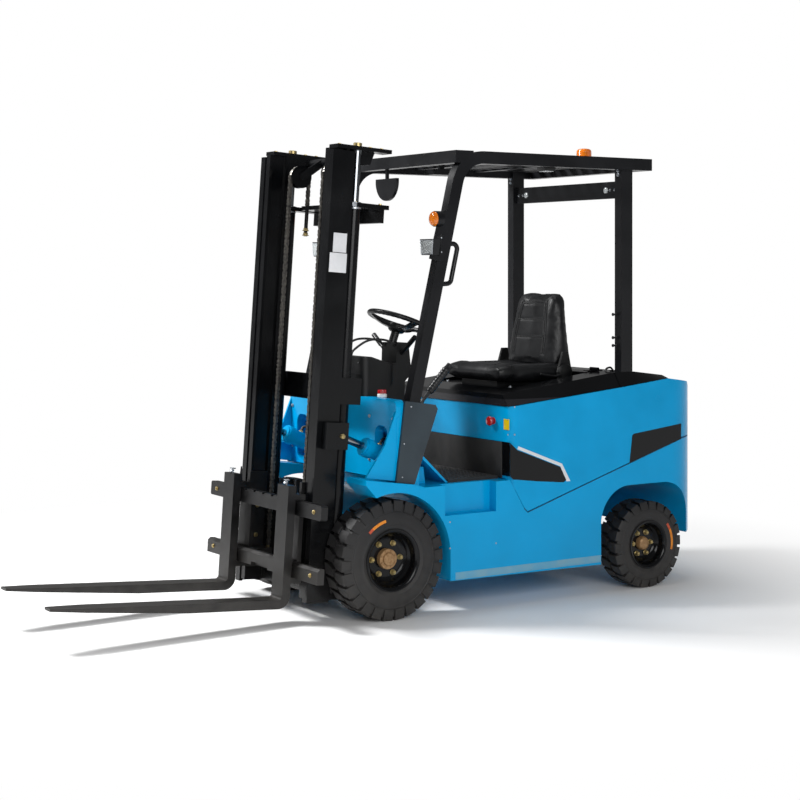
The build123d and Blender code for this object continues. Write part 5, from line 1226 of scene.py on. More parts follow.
@dataclass
class Carriage:
    """Fork carriage and forks: finishes, locking pins and screws."""

    places: Places
    nodes: dict[str, bpy.types.Object]
    fork_y: float = 263.0
    bar_front_x: float = 402
    bar_screws_y: float = 470
    side_plate_y: float = 238
    anchor: Point = (275, 155, 176)
    pin_x: float = 424
    pin_z: float = 570
    bar_screws_z: tuple[float, ...] = (493, 217)
    pin_profile: tuple[Flat, ...] = (
        (0, 9), (10, 9), (12, 6), (30, 6), (30, 11), (36, 11), (38, 8),
    )
    side_screws: tuple[Flat, ...] = ((345, 215), (345, 490), (300, 300), (300, 440))
    anchor_profile: tuple[Flat, ...] = ((0, 9), (60, 9), (60, 13), (74, 13), (74, 8), (86, 8))
    ring_z: float = 612

    def pins(self) -> None:
        """Turns the forks' locking pins and their rings."""
        lock = Shape(self.places.mast)
        for side in (1, -1):
            y = side * self.fork_y
            lock.lathe(self.pin_profile,
                       (self.pin_x, y, self.pin_z), (0.35, 0, 1), 20)
            ring = [(430 + 12 * cos(t), y + 13 * sin(t), self.ring_z) for t in (2 * pi * i / 16
                                                                        for i in range(16))]
            lock.tube([Vector(p) for p in ring], 2.4, 8, loop=True)
        lock.piece("fork_locking_pins", BRIGHT_ZINC, "fork_carriage")

    def screws(self) -> None:
        """Sets the screws of the side plates and the chains' lower anchors."""
        heads = Shape(self.places.mast)
        for side in (1, -1):
            for x, z in self.side_screws:
                heads.screw((x, side * self.side_plate_y, z), (0, -side, 0), 9, 8)
            x, y, z = self.anchor
            heads.lathe(self.anchor_profile, (x, side * y, z), (0, 0, 1), 16)
            for z in self.bar_screws_z:
                heads.screw((self.bar_front_x, side * self.bar_screws_y, z), (1, 0, 0), 8, 7)
        heads.piece("carriage_screws", ZINC, "fork_carriage")

    def build(self) -> None:
        """Paints the carriage's CAD nodes and adds the pieces."""
        dress(self.nodes, FORK_STEEL, "carriage", "fork_left", "fork_right")
        self.pins()
        self.screws()


@dataclass
class TiltCylinders:
    """Tilt cylinders: blue barrels with their unions and hoses."""

    places: Places
    nodes: dict[str, bpy.types.Object]
    base: Flat = (-215.0, 650.0)
    eye: Flat = (232.0, 820.0)
    out_y: float = 363.0
    unions_at: tuple[float, ...] = (92, 226)
    union_profile: tuple[Flat, ...] = (
        (0, 10), (8, 10), (8, 8), (16, 8), (16, 10.5), (27, 10.5), (29, 6),
    )
    hose_radius: float = 6.5

    def build(self) -> None:
        """Paints the barrels and adds unions and hoses to each."""
        dress(self.nodes, BLUE_ENAMEL, "tilt_barrel_left", "tilt_barrel_right")
        slope = atan2(self.eye[1] - self.base[1] - 20, self.eye[0] - self.base[0])
        for label, side in (("left", 1), ("right", -1)):
            def along(reach: float, rise: float, shift: float = 0.0) -> Point:
                """Finds a point over the cylinder.

                Args:
                    reach: Distance from its base.
                    rise: Height over its centreline.
                    shift: Distance to the left of it.

                Returns:
                    The point in the truck's frame.
                """
                return (self.base[0] + reach * cos(slope) - rise * sin(slope),
                        side * self.out_y + shift,
                        self.base[1] + reach * sin(slope) + rise * cos(slope))
            fit = Shape(self.places.truck)
            up = (-sin(slope), 0, cos(slope))
            for reach in self.unions_at:
                fit.lathe(self.union_profile,
                          along(reach, 36), up, 6)
            fit.piece(f"tilt_unions_{label}", ZINC, f"tilt_barrel_{label}")
            hose = Shape(self.places.truck)
            inner = -side * 40
            front = [along(226, 62), along(218, 84), along(190, 92, inner / 2),
                     along(120, 86, inner), along(40, 60, inner)]
            hose.tube(smooth_run(front, 8), self.hose_radius, 12)
            rear = [along(92, 62), along(80, 80), along(50, 84, inner / 2), along(10, 62, inner)]
            hose.tube(smooth_run(rear, 8), self.hose_radius, 12)
            hose.piece(f"tilt_hoses_{label}", HOSE_RUBBER, f"tilt_barrel_{label}")


# Cab: dash, handwheel, levers and seat

@dataclass
class Console:
    """Dash, column, its cables, stalks, levers and pedals."""

    places: Places
    nodes: dict[str, bpy.types.Object]
    dash_slope: Flat = (46, 195)
    boot_folds: int = 5
    grip_ribs: int = 9
    prongs_y: Flat = (-9, 9)
    seam_low: Point = (-20.4, -196, 1088)
    seam_high: Point = (-19.2, 196, 1091)
    dash_screws_z: tuple[float, ...] = (1010, 1140)
    gauges: tuple[Flat, ...] = ((-90, 40), (90, 30))
    knobs_y: tuple[float, ...] = (-20, 20)
    knob_profile: tuple[Flat, ...] = ((-2, 13), (8, 13), (10, 11), (22, 8), (23, 0))
    levers_y: tuple[float, ...] = (-236, -276, -316)
    grip_foot: Point = (-300, 350, 1005)
    grip_tip: Point = (-404, 350, 1113)
    first_stud: Flat = (-362, -416)
    stud_pitch: Flat = (30, 32)
    stud_rows: int = 9
    stud_columns: int = 27
    mat_half_width: float = 424
    stud: tuple[Flat, ...] = ((-0.5, 9), (2.0, 8), (2.6, 0))
    sheet: tuple[Point, ...] = (
        (-338, -430, 600), (-338, 430, 600), (-78, 430, 846), (-78, -430, 846),
    )
    sheet_thickness: Point = (-2.1, 0, 2.2)
    cable_radius: float = 5.5

    def cables(self) -> None:
        """Runs the two cables from the dash up to the column's head."""
        for label, side in (("left", 1), ("right", -1)):
            run = Shape(self.places.truck)
            run.tube(smooth_run([(-60, side * 44, 1166), (-76, side * 48, 1196),
                                 (-150, side * 58, 1238), (-250, side * 52, 1236),
                                 (-306, side * 44, 1206)], 10), self.cable_radius, 12)
            run.piece(f"column_cable_{label}", HOSE_RUBBER, "chassis")

    def dash_trim(self) -> None:
        """Adds the dash's seam, its screws, a blank gauge plate and knobs."""
        seam = Shape(self.places.truck)
        seam.block(self.seam_low, self.seam_high, 0.3)
        for side in (1, -1):
            for z in self.dash_screws_z:
                seam.rivet((-20, side * 176, z), (1, 0, 0), 5)
        seam.piece("dash_seam_and_screws", SOFT_PLASTIC, "chassis")
        gauge = Shape(self.places.truck)
        slope = atan2(*self.dash_slope)
        for y, radius in self.gauges:
            gauge.lathe([(-2, radius), (5, radius), (6.5, radius - 3), (4, radius - 6), (3.6, 0)],
                        (-150, y, 1138), (-sin(slope), 0, cos(slope)), 40)
        for y in self.knobs_y:
            gauge.lathe(self.knob_profile, (-168, y, 1134),
                        (-sin(slope), 0, cos(slope)), 24)
        gauge.piece("dash_gauges_and_switches", BLACK_ENAMEL, "chassis")

    def boots(self) -> None:
        """Folds the rubber boots at the feet of the three levers."""
        folds = Shape(self.places.truck)
        for y in self.levers_y:
            profile = []
            for fold in range(self.boot_folds):
                profile += [(fold * 7, 17 - fold * 2), (fold * 7 + 3.5, 13 - fold * 2)]
            folds.lathe([*profile, (34, 7.5)], (-118, y, 1000), (-0.38, 0, 0.92), 24)
        folds.piece("lever_boots", HOSE_RUBBER, "chassis")

    def brake_grip(self) -> None:
        """Ribs the brake lever's grip and forks its tip."""
        start, end = Vector(self.grip_foot), Vector(self.grip_tip)
        way = (end - start).normalized()
        grip = Shape(self.places.truck)
        length = (end - start).length
        profile = [(0, 16)]
        for rib in range(self.grip_ribs):
            foot = length * (rib + 0.3) / 9.6
            profile += [(foot, 17.4), (foot + 7, 20.5), (foot + 10, 17.4)]
        grip.lathe([*profile, (length, 16)], start, way, 28)
        for shift in self.prongs_y:
            tip = end + way * 2 + Vector((0, shift, 0))
            grip.lathe([(0, 5), (16, 5), (19, 2.5)], tip, way, 14)
        grip.piece("brake_lever_grip", SOFT_PLASTIC, "chassis")

    def mat(self) -> None:
        """Raises the floor mat's studs in rows."""
        studs = Shape(self.places.truck)
        across = self.stud_pitch[1]
        for row in range(self.stud_rows):
            for column in range(self.stud_columns):
                x = self.first_stud[0] - row * self.stud_pitch[0]
                y = self.first_stud[1] + column * across + (row % 2) * across / 2
                if abs(y) < self.mat_half_width:
                    studs.lathe(self.stud, (x, y, 602), (0, 0, 1), 10)
        studs.piece("floor_mat_studs", MAT_RUBBER, "chassis")
        sheet = Shape(self.places.truck)
        sheet.prism(self.sheet,
                    self.sheet_thickness, 0.6)
        sheet.piece("toe_board_mat", MAT_RUBBER, "chassis")

    def build(self) -> None:
        """Paints the console's CAD nodes and adds the pieces."""
        dress(self.nodes, ABS, "steering_column")
        dress(self.nodes, SOFT_PLASTIC, "controls")
        self.cables()
        self.dash_trim()
        self.boots()
        self.brake_grip()
        self.mat()


@dataclass
class Handwheel:
    """Steering wheel: a gripped ring on three dished spokes, over a hub."""

    places: Places
    ring_radius: float = 148.0
    tube_radius: float = 12.5
    dish: float = 34.0
    spokes: tuple[float, ...] = (90.0, 210.0, 330.0)
    spoke_foot: float = 22.0
    spoke_thickness: float = 6.5
    foot_width: float = 24.0
    dish_power: float = 2.2
    hub_profile: tuple[Flat, ...] = (
        (-57, 30), (-52, 38), (-40, 44), (-26, 46), (-20, 44), (-17, 38), (-16, 20), (-14, 18),
        (-13.5, 0),
    )
    ripples: int = 36

    def ring(self) -> None:
        """Turns the ring, with finger ripples on its underside."""
        shape = Shape(self.places.column)
        steps, round_steps = 144, 16
        rings = []
        for i in range(steps):
            turn = 2 * pi * i / steps
            ring = []
            for k in range(round_steps):
                around = 2 * pi * k / round_steps
                under = max(0.0, -sin(around))
                swell = self.tube_radius - under * 1.3 * (1 + cos(turn * self.ripples)) / 2
                reach = self.ring_radius + swell * cos(around)
                ring.append(Vector((reach * cos(turn), reach * sin(turn), swell * sin(around))))
            rings.append(ring)
        shape.rings(rings, loop=True)
        shape.piece("handwheel_ring", SOFT_PLASTIC, "handwheel", 40.0, ("steering_wheel",))

    def centre(self) -> None:
        """Builds the deep dished spokes, the hub and its cover."""
        shape = Shape(self.places.column)
        for angle in self.spokes:
            turn = radians(angle)
            out = Vector((cos(turn), sin(turn), 0))
            across = Vector((-sin(turn), cos(turn), 0))
            rings = []
            for i in range(11):
                share = i / 10
                reach = self.spoke_foot + (self.ring_radius - self.spoke_foot - 4) * share
                drop = -self.dish * (1 - share ** self.dish_power)
                waist = self.foot_width - 9 * sin(share * pi)
                half = waist if share < 0.5 else 15 + 7 * (share - 0.5) * 2
                thick = self.spoke_thickness - 1.5 * share
                middle = out * reach + Vector((0, 0, drop - 2))
                ring = [(-half, -thick), (half, -thick), (half * 0.8, thick), (-half * 0.8, thick)]
                rings.append([middle + across * a + Vector((0, 0, b)) for a, b in ring])
            shape.rings(rings)
        shape.piece("handwheel_spokes", SOFT_PLASTIC, "handwheel", 50.0)
        hub = Shape(self.places.column)
        hub.lathe(self.hub_profile, (0, 0, 0), (0, 0, 1), 48)
        hub.piece("handwheel_hub", ABS, "handwheel", 35.0)

    def build(self) -> None:
        """Builds the handwheel."""
        self.ring()
        self.centre()


@dataclass
class SeatPad:
    """One padded part of the seat, blown up by cloth and then welted."""

    places: Places
    name: str
    node: str
    fill: float
    cap: float = 9.0
    voxel: float = 6.0
    slices: int = 18
    pressure: float = 4.0
    cloth_frames: int = 12
    welt_radius: float = 0.0028
    channel_depth: float = 0.0045
    channel_reach: float = 0.014

    def outline(self, share: float) -> list[Vector]:
        """Cross-section of the pad at a share of its length."""
        raise NotImplementedError

    def blank(self) -> bpy.types.Object:
        """Skins the pad's starting form, a little smaller than the finished one.

        Returns:
            The form, on no body yet.
        """
        shape = Shape(self.places.truck)
        shape.rings([self.outline(i / self.slices) for i in range(self.slices + 1)])
        return shape.piece(self.name, VINYL, None, 180.0)

    def blow_up(self, pad: bpy.types.Object) -> None:
        """Swells the pad with a short cloth simulation, within a cap.

        Args:
            pad: The pad's mesh, which is changed.
        """
        remesh = pad.modifiers.new("remesh", "REMESH")
        remesh.mode = "VOXEL"
        remesh.voxel_size = self.voxel * MM
        self.apply(pad)
        start = [v.co.copy() for v in pad.data.vertices]
        cloth = pad.modifiers.new("cloth", "CLOTH")
        settings = cloth.settings
        settings.use_pressure = True
        settings.uniform_pressure_force = self.pressure
        settings.effector_weights.gravity = 0.0
        settings.quality = 5
        scene = bpy.context.scene
        for frame in range(1, self.cloth_frames + 1):
            scene.frame_set(frame)
        self.apply(pad)
        scene.frame_set(1)
        limit = self.cap * MM
        for vertex, before in zip(pad.data.vertices, start):
            move = vertex.co - before
            if move.length > limit:
                vertex.co = before + move.normalized() * limit
        smooth = pad.modifiers.new("even", "SMOOTH")
        smooth.iterations = 6
        smooth.factor = 0.5
        self.apply(pad)

    def apply(self, pad: bpy.types.Object) -> None:
        """Bakes the pad's modifiers into its mesh.

        Args:
            pad: The pad's object, which gets a new mesh.
        """
        graph = bpy.context.evaluated_depsgraph_get()
        baked = bpy.data.meshes.new_from_object(pad.evaluated_get(graph))
        pad.modifiers.clear()
        pad.data = baked

    def welts(self) -> list[list[Point]]:
        """Lines of the welts and seams, roughly on the pad's surface."""
        raise NotImplementedError

    def facing(self) -> Vector:
        """Direction in which the pad's show side faces."""
        raise NotImplementedError

    def sew(self, pad: bpy.types.Object) -> None:
        """Sinks a channel along each seam and lays its welt cord in it.

        Args:
            pad: The pad's mesh, which is changed.
        """
        facing = self.facing()
        tree = BVHTree.FromPolygons([v.co for v in pad.data.vertices],
                                    [p.vertices[:] for p in pad.data.polygons])
        runs = []
        for line in self.welts():
            run = []
            for point in smooth_run(line, 8):
                start = self.places.truck @ point + facing * 0.15
                hit = tree.ray_cast(start, -facing)[0]
                if hit:
                    run.append(hit)
            runs.append(run)
        every = [p for run in runs for p in run]
        for vertex in pad.data.vertices:
            if vertex.normal.dot(facing) > 0.3:
                near = min((vertex.co - p).length for p in every)
                sink = self.channel_depth * max(0.0, 1 - near / self.channel_reach) ** 2
                vertex.co -= facing * sink
        cord = Shape(Matrix.Identity(4))
        for run in runs:
            cord.tube([p - facing * 0.0015 for p in run], self.welt_radius, 10)
        cord.piece(f"{self.name}_welts", WELT, "hood", 60.0)

    def build(self) -> None:
        """Builds the pad, then its seams, and puts it on the hood."""
        pad = self.blank()
        self.blow_up(pad)
        self.sew(pad)
        for face in pad.data.polygons:
            face.use_smooth = True
        pad.data.materials.clear()
        pad.data.materials.append(VINYL.material())
        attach(pad, "hood")
        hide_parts(self.node)


def squarish(half_a: float, half_b: float, power: float, steps: int = 40) -> list[Flat]:
    """Points of a rounded rectangle.

    Args:
        half_a: Half its first side.
        half_b: Half its second side.
        power: From 2, an ellipse, up to about 8, nearly square.
        steps: Number of points.

    Returns:
        The points in order.
    """
    points = []
    for i in range(steps):
        t = 2 * pi * i / steps
        c, s = cos(t), sin(t)
        points.append((half_a * abs(c) ** (2 / power) * (1 if c > 0 else -1),
                       half_b * abs(s) ** (2 / power) * (1 if s > 0 else -1)))
    return points


@dataclass
class Cushion(SeatPad):
    """Seat cushion: front roll, raised sides and a sunken middle."""

    front_x: float = -791.0
    rear_x: float = -1237.0
    low_z: float = 1026.0
    high_z: float = 1096.0
    half_width: float = 240.0
    middle_share: float = 0.62
    bolster_rise: float = 10.0
    middle_sink: float = 12.0
    cross_seams_x: tuple[float, ...] = (-865, -1025)

    def outline(self, share: float) -> list[Vector]:
        """Cross-section of the cushion at a share of its depth, front to rear.

        Args:
            share: From 0 at the front to 1.

        Returns:
            The points round it.
        """
        x = self.front_x + (self.rear_x - self.front_x) * share
        end = min(1.0, share * 5 + 0.35, (1 - share) * 6 + 0.5)
        round_end = 1 - (1 - min(1.0, end)) ** 2
        half = self.half_width * (0.86 + 0.14 * round_end)
        thick = (self.high_z - self.low_z) / 2 * (0.55 + 0.45 * round_end)
        middle = (self.low_z + self.high_z) / 2 + (6 if share < 0.2 else 0)
        points = []
        for a, b in squarish(half, thick, 5.0):
            side = abs(a) / half
            outer = max(0.0, (side - self.middle_share) / (1 - self.middle_share))
            bolster = self.bolster_rise * outer if b > 0 else 0.0
            hollow = max(0.0, 1 - (side / self.middle_share) ** 2)
            sink = -self.middle_sink * hollow if b > 0 and share > 0.12 else 0.0
            points.append(Vector((x, a, middle + b + bolster * 0.4 + sink)))
        return points

    def welts(self) -> list[list[Point]]:
        """Seams between the middle and the sides, the front roll's and one across.

        Returns:
            The lines, each as points just off the pad.
        """
        lines = []
        for side in (1, -1):
            lines.append([(-825, side * 150, 1100), (-945, side * 150, 1100),
                          (-1085, side * 146, 1100), (-1150, side * 142, 1100)])
        for x in self.cross_seams_x:
            lines.append([(x, -148, 1100), (x, -60, 1100), (x, 60, 1100), (x, 148, 1100)])
        return lines

    def facing(self) -> Vector:
        """The cushion faces up."""
        return Vector((0, 0, 1))


@dataclass
class Backrest(SeatPad):
    """Seat back: side rolls that narrow to the top and three sewn panels."""

    foot: Flat = (-1206.0, 1098.0)
    head: Flat = (-1235.0, 1450.0)
    half_foot: float = 205.0
    half_head: float = 150.0
    thick_foot: float = 74.0
    thick_head: float = 40.0
    middle_share: float = 0.6
    roll_rise: float = 20.0
    middle_hollow: float = 10.0
    cross_seams_z: tuple[float, ...] = (1232, 1322)
    welt_insets: tuple[float, ...] = (0, 12)

    def outline(self, share: float) -> list[Vector]:
        """Cross-section of the back at a share of its height.

        Args:
            share: From 0 at the foot to 1.

        Returns:
            The points round it.
        """
        x = self.foot[0] + (self.head[0] - self.foot[0]) * share
        z = self.foot[1] + (self.head[1] - self.foot[1]) * share
        end = min(1.0, share * 7 + 0.5, (1 - share) * 6 + 0.3)
        round_end = 1 - (1 - min(1.0, end)) ** 2
        swell = sin(min(1.0, share * 1.5) * pi / 2)
        half = (self.half_foot * (1 - share ** 1.6) + self.half_head * share ** 1.6)
        half *= 0.9 + 0.1 * round_end if share < 0.5 else 0.72 + 0.28 * round_end
        thick = (self.thick_foot * (1 - share) + self.thick_head * share) * (0.6 + 0.4 * round_end)
        points = []
        for a, b in squarish(half, thick, 4.0):
            side = abs(a) / half
            outer = max(0.0, (side - self.middle_share) / (1 - self.middle_share))
            roll = self.roll_rise * outer * swell if b > 0 else 0.0
            inner = max(0.0, 1 - (side / self.middle_share) ** 2)
            hollow = -self.middle_hollow * inner if b > 0 else 0.0
            points.append(Vector((x + b + hollow + roll * 0.5, a, z - 0.15 * b)))
        return points

    def welts(self) -> list[list[Point]]:
        """Double welt round the three panels and the seams between them.

        Returns:
            The lines, each as points just off the pad.
        """
        lines = []
        for inset in self.welt_insets:
            for side in (1, -1):
                lines.append([(-1120, side * (128 - inset), 1150),
                              (-1130, side * (126 - inset), 1240),
                              (-1140, side * (116 - inset), 1330),
                              (-1150, side * (102 - inset), 1412 - inset)])
            lines.append([(-1150, -(102 - inset), 1412 - inset), (-1150, 0, 1414 - inset),
                          (-1150, 102 - inset, 1412 - inset)])
        for z in self.cross_seams_z:
            lines.append([(-1140, -112, z), (-1140, 0, z), (-1140, 112, z)])
        return lines

    def facing(self) -> Vector:
        """The back faces forwards."""
        return Vector((1, 0, 0))


@dataclass
class SeatFittings:
    """Hinge covers, lever, rails and their screws."""

    places: Places
    nodes: dict[str, bpy.types.Object]
    hinge: Point = (-1176, 261, 1065)
    rail_y: float = 268
    rail_z: float = 1002
    cover_profile: tuple[Flat, ...] = (
        (-3, 42), (6, 42), (12, 36), (15, 20), (17, 12), (17.4, 0),
    )
    lever_run: tuple[Point, ...] = (
        (-1140, 270, 1050), (-1100, 276, 1046), (-1050, 278, 1052), (-1010, 278, 1060),
    )
    rail_screws_x: tuple[float, ...] = (-830, -1190)

    def build(self) -> None:
        """Paints the seat's frame and adds its fittings."""
        dress(self.nodes, ABS, "seat_frame")
        x, y, z = self.hinge
        covers = Shape(self.places.truck)
        for side in (1, -1):
            covers.lathe(self.cover_profile,
                         (x, side * y, z), (0, side, 0), 40)
        covers.piece("seat_hinge_covers", ABS, "hood")
        lever = Shape(self.places.truck)
        lever.tube(smooth_run(self.lever_run, 8), 6, 12)
        lever.piece("seat_tilt_lever", SOFT_PLASTIC, "hood")
        screws = Shape(self.places.truck)
        for side in (1, -1):
            for x in self.rail_screws_x:
                screws.screw((x, side * self.rail_y, self.rail_z), (0, 0, 1), 7, 6)
        screws.piece("seat_rail_screws", BRIGHT_ZINC, "hood")


# Guard, lamps and mirror

@dataclass
class Guard:
    """Overhead guard: powder coat, screws and clips."""

    places: Places
    nodes: dict[str, bpy.types.Object]
    post_screws_y: float = 445
    screws_drop: float = 40
    panel_z: float = 1972
    clips_y: float = 430
    grab_x: float = -270
    pillar_y: float = 497
    post_screws_z: tuple[float, ...] = (2104, 2084)
    panel_screws_y: tuple[float, ...] = (360, 396)
    grab_rivets_z: tuple[float, ...] = (1655, 1720, 1785)
    clips_z: tuple[float, ...] = (1352, 1237, 1198)
    clip_profile: tuple[Flat, ...] = ((0, 7), (3, 7), (4, 5), (16, 5), (18, 8), (22, 8), (24, 5))
    post_front_x: float = -1364
    panel_front_x: float = -1384

    def build(self) -> None:
        """Paints the guard's CAD nodes and adds the small parts."""
        dress(self.nodes, POWDER_COAT, "guard_frame", "roof_slats", "lamps", "mirror")
        heads = Shape(self.places.truck)
        for side in (1, -1):
            for z in self.post_screws_z:
                heads.screw((self.post_front_x, side * self.post_screws_y,
                             z - self.screws_drop), (1, 0, 0), 7, 6)
            for y in self.panel_screws_y:
                heads.screw((self.panel_front_x, side * y, self.panel_z), (1, 0, 0), 5, 5)
            for z in self.grab_rivets_z:
                heads.rivet((self.grab_x, side * self.pillar_y, z), (0, side, 0), 4)
        heads.piece("guard_screws", BRIGHT_ZINC, "chassis")
        clips = Shape(self.places.truck)
        for z in self.clips_z:
            clips.lathe(self.clip_profile,
                        (self.post_front_x, self.clips_y, z), (1, 0, 0), 16)
        clips.piece("post_rubber_clips", HOSE_RUBBER, "chassis")


@dataclass
class Lamps:
    """Lenses of the head, turn, roof and rear lamps, the beacon and the mirror's glass."""

    places: Places
    nodes: dict[str, bpy.types.Object]
    turn_lamp_x: float = -232
    turn_lamp_z: float = 1806
    rear_lens_x: Flat = (-1439.5, -1435)
    rear_lens_z: Flat = (1949, 1995)
    panel_lamp: Point = (-1384, 330, 1972)
    beacon_place: Point = (-1510, 0, 2127)
    beacon_foot: tuple[Flat, ...] = ((0, 47), (10, 47), (15, 44), (16, 40), (17, 0))
    dome_profile: tuple[Flat, ...] = ((-1, 34), (4, 34), (10, 30), (15, 20), (17, 9), (17.4, 0))
    small_profile: tuple[Flat, ...] = ((0, 15), (5, 15), (7, 11), (8, 0))
    work_lamp_case: tuple[Point, ...] = (
        (-905, 436, 2076), (-985, 436, 2076), (-975, 436, 2052), (-915, 436, 2052),
    )
    lens_face_x: float = -191.6
    lamps_y: float = 493

    def head_lenses(self) -> None:
        """Sets the ribbed glass, the reflector's rim and the turn lamp's amber dome."""
        glass = Shape(self.places.truck)
        rims = Shape(self.places.truck)
        domes = Shape(self.places.truck)
        for side in (1, -1):
            y = side * self.lamps_y
            half, top, foot = 52, 1708, 1646
            outline = [(self.lens_face_x, y - half, top), (self.lens_face_x, y + half, top),
                       (self.lens_face_x, y + half - 8, foot),
                       (self.lens_face_x, y - half + 8, foot)]
            glass.prism(outline, (2.6, 0, 0), 1.0)
            corners = [Vector(p) for p in outline]
            rims.tube([c + Vector((1.5, 0, 0)) for c in corners], 2.6, 8, loop=True)
            domes.lathe(self.dome_profile,
                        (self.turn_lamp_x, y, self.turn_lamp_z), (1, 0, 0), 40)
        glass.piece("head_lamp_glass", LAMP_GLASS, "chassis")
        rims.piece("head_lamp_rims", BRIGHT_ZINC, "chassis")
        domes.piece("turn_lamp_domes", AMBER, "chassis")

    def rear_lenses(self) -> None:
        """Sets the red and amber lenses of the rear lamps and the small panel lamps."""
        lenses = (("red", RED_PLASTIC, 262, 372), ("amber", AMBER, 228, 258))
        for tint, finish, low, high in lenses:
            lens = Shape(self.places.truck)
            for side in (1, -1):
                y0, y1 = sorted((side * low, side * high))
                lens.block((self.rear_lens_x[0], y0, self.rear_lens_z[0]),
                           (self.rear_lens_x[1], y1, self.rear_lens_z[1]), 1.5)
            lens.piece(f"rear_lamp_{tint}", finish, "chassis")
        small = Shape(self.places.truck)
        x, y, z = self.panel_lamp
        for side in (1, -1):
            small.lathe(self.small_profile, (x, side * y, z),
                        (1, 0, 0), 24)
        small.piece("panel_small_lamps", LAMP_GLASS, "chassis")

    def work_lamp(self) -> None:
        """Hangs the small work lamp inside the left roof beam."""
        lamp = Shape(self.places.truck)
        lamp.prism(self.work_lamp_case,
                   (0, -58, 0), 2)
        lamp.lathe([(0, 6), (20, 6)], (-945, 407, 2060), (0, 0, 1), 12)
        lamp.piece("work_lamp_case", ABS, "chassis")
        glass = Shape(self.places.truck)
        glass.block((-970, 382, 2047.5), (-920, 432, 2052), 1)
        glass.piece("work_lamp_glass", LAMP_GLASS, "chassis")

    def beacon(self) -> None:
        """Turns the beacon's ribbed amber dome over its black foot."""
        foot = Shape(self.places.truck)
        foot.lathe(self.beacon_foot, self.beacon_place, (0, 0, 1), 48)
        foot.piece("beacon_foot", ABS, "chassis", 30.0, ("beacon",))
        dome = Shape(self.places.truck)
        profile = [(15, 40)]
        for rib in range(9):
            profile += [(18 + rib * 5.5, 40.0 - rib * 0.12), (20.5 + rib * 5.5, 39.0 - rib * 0.12)]
        crown = [(67, 38), (74, 34), (78, 26), (80, 12), (80.5, 0)]
        dome.lathe([*profile, *crown], self.beacon_place, (0, 0, 1), 56)
        dome.piece("beacon_dome", AMBER, "chassis", 30.0)

    def mirror(self) -> None:
        """Lays the glass in the mirror's D-shaped shell."""
        glass = Shape(self.places.truck)
        radius = 88.0
        half = (radius ** 2 - 10.0 ** 2) ** 0.5
        start = atan2(10.0, -half)
        bottom = [(-388.2, -140 + radius * cos(t), 2008 + radius * sin(t))
                  for t in (start + (2 * pi - 2 * (start - pi / 2)) * i / 30 for i in range(31))]
        glass.prism(bottom, (-0.9, 0, 0))
        glass.piece("mirror_glass", MIRROR_GLASS, "chassis")

    def build(self) -> None:
        """Builds all the lamps' pieces."""
        self.head_lenses()
        self.rear_lenses()
        self.work_lamp()
        self.beacon()
        self.mirror()


# Studio

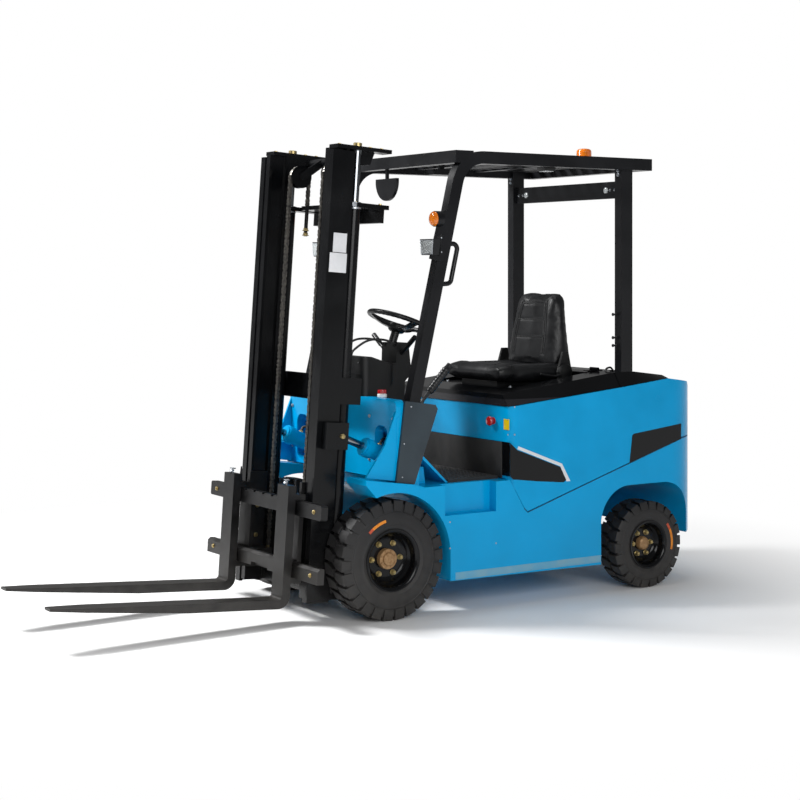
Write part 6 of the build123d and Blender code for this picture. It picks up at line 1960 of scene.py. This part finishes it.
@dataclass(frozen=True)
class Studio:
    """Pale floor, soft lights and the camera at the photograph's angle."""

    lens_mm: float = 74.95
    camera_place: Point = (4.2007, 6.7910, 1.5724)
    camera_yaw: float = 236.939
    camera_pitch: float = -0.076
    shift: Flat = (-0.0066, -0.1597)
    floor_size: float = 60.0
    air_strength: float = 0.22
    aim: Point = (0.0, 0.0, 0.9)
    lamps: tuple[tuple[str, Point, Flat, float], ...] = (
        ("key_softbox", (3.4, -2.6, 5.0), (1.4, 1.4), 520),
        ("fill_softbox", (1.8, 7.0, 3.2), (5.0, 3.0), 270),
        ("top_softbox", (-0.8, -0.6, 6.0), (3.0, 3.0), 110),
    )

    def floor(self) -> None:
        """Lays a pale floor that keeps the shadow near the truck and fades to white."""
        data = bpy.data.meshes.new("floor")
        half = self.floor_size / 2
        data.from_pydata([(-half, -half, 0), (half, -half, 0), (half, half, 0), (-half, half, 0)],
                         [], [(0, 1, 2, 3)])
        floor = bpy.data.objects.new("floor", data)
        bpy.context.scene.collection.objects.link(floor)
        made = bpy.data.materials.new("pale_floor_paint")
        made.use_nodes = True
        tree = made.node_tree
        shader = tree.nodes["Principled BSDF"]
        place = add_node(tree, "ShaderNodeTexCoord").outputs["Object"]
        speck = add_node(tree, "ShaderNodeTexNoise", {}, {
            "Vector": place, "Scale": 3.0}).outputs[0]
        tone = add_node(tree, "ShaderNodeMix", {"data_type": "RGBA"}, {
            "Factor": speck, 6: linear("F6F6F6"), 7: linear("F9F9F9")}).outputs[2]
        tree.links.new(tone, shader.inputs["Base Color"])
        shader.inputs["Roughness"].default_value = 0.6
        centred = add_node(tree, "ShaderNodeMapping", {}, {
            "Vector": place, "Location": (0.1, 0.35, 0.0), "Scale": (1.0, 1.0, 1.0)})
        reach = add_node(tree, "ShaderNodeVectorMath", {"operation": "LENGTH"}, {
            0: centred.outputs[0]}).outputs["Value"]
        fade = add_node(tree, "ShaderNodeMapRange", {"interpolation_type": "SMOOTHSTEP"}, {
            "Value": reach, "From Min": 1.5, "From Max": 3.4}).outputs[0]
        path = add_node(tree, "ShaderNodeLightPath")
        seen = add_node(tree, "ShaderNodeMath", {"operation": "MAXIMUM"}, {
            0: path.outputs["Is Camera Ray"], 1: path.outputs["Is Glossy Ray"]}).outputs[0]
        through = add_node(tree, "ShaderNodeMath", {"operation": "MAXIMUM"}, {
            0: seen, 1: path.outputs["Is Transmission Ray"]}).outputs[0]
        share = add_node(tree, "ShaderNodeMath", {"operation": "MULTIPLY"}, {
            0: fade, 1: through}).outputs[0]
        white = add_node(tree, "ShaderNodeEmission", {}, {"Strength": 1.0}).outputs[0]
        mix = add_node(tree, "ShaderNodeMixShader", {}, {
            0: share, 1: shader.outputs[0], 2: white})
        tree.links.new(mix.outputs[0], tree.nodes["Material Output"].inputs["Surface"])
        data.materials.append(made)

    def world(self) -> None:
        """Lights the air softly and shows white where the camera sees past the floor."""
        world = bpy.data.worlds.new("pale_studio")
        bpy.context.scene.world = world
        world.use_nodes = True
        tree = world.node_tree
        tree.nodes.clear()
        path = add_node(tree, "ShaderNodeLightPath")
        seen = add_node(tree, "ShaderNodeMath", {"operation": "MAXIMUM"}, {
            0: path.outputs["Is Camera Ray"], 1: path.outputs["Is Transmission Ray"]}).outputs[0]
        air = add_node(tree, "ShaderNodeBackground", {}, {
            "Color": linear("EEEEEE"), "Strength": self.air_strength}).outputs[0]
        white = add_node(tree, "ShaderNodeBackground", {}, {
            "Color": (1, 1, 1, 1), "Strength": 1.0}).outputs[0]
        mix = add_node(tree, "ShaderNodeMixShader", {}, {0: seen, 1: air, 2: white}).outputs[0]
        add_node(tree, "ShaderNodeOutputWorld", {}, {"Surface": mix})

    def lamp(self, name: str, place: Point, size: Flat, watts: float) -> None:
        """Hangs one soft box that points at the truck's middle.

        Args:
            name: The lamp's name.
            place: Where it hangs, in metres.
            size: Its two sides, in metres.
            watts: Its power.
        """
        data = bpy.data.lights.new(name, "AREA")
        data.shape = "RECTANGLE"
        data.size, data.size_y = size
        data.energy = watts
        lamp = bpy.data.objects.new(name, data)
        lamp.location = place
        aim = Vector(self.aim) - lamp.location
        lamp.rotation_euler = aim.to_track_quat("-Z", "Y").to_euler()
        bpy.context.scene.collection.objects.link(lamp)

    def camera(self) -> None:
        """Places the camera at the photograph's viewing angle."""
        data = bpy.data.cameras.new("camera")
        data.lens = self.lens_mm
        data.sensor_width = 36.0
        data.shift_x, data.shift_y = self.shift
        data.clip_end = 200.0
        camera = bpy.data.objects.new("camera", data)
        camera.location = self.camera_place
        camera.rotation_euler = (radians(90 + self.camera_pitch), 0,
                                 radians(self.camera_yaw - 90))
        bpy.context.scene.collection.objects.link(camera)
        bpy.context.scene.camera = camera

    def build(self) -> None:
        """Builds the studio."""
        bpy.context.scene.view_settings.view_transform = "Standard"
        self.floor()
        self.world()
        for name, place, size, watts in self.lamps:
            self.lamp(name, place, size, watts)
        self.camera()


def main() -> None:
    """Builds the truck's looks in order and reports each piece."""
    logging.basicConfig(level=logging.INFO, format="%(message)s")
    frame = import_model()
    nodes = frame["nodes"]
    places = Places.from_frame()
    Studio().build()
    BodyShell(places, nodes).build()
    Cowl(places).build()
    Mast(places, nodes).build()
    LeafChain(places).build()
    Carriage(places, nodes).build()
    TiltCylinders(places, nodes).build()
    Console(places, nodes).build()
    Handwheel(places).build()
    Cushion(places, "seat_cushion_pad", "seat_cushion", 0.7).build()
    Backrest(places, "seat_back_pad", "seat_back", 0.7).build()
    SeatFittings(places, nodes).build()
    Guard(places, nodes).build()
    Lamps(places, nodes).build()
    for wheel in all_wheels(places):
        wheel.build()


if __name__ == "__main__":
    main()
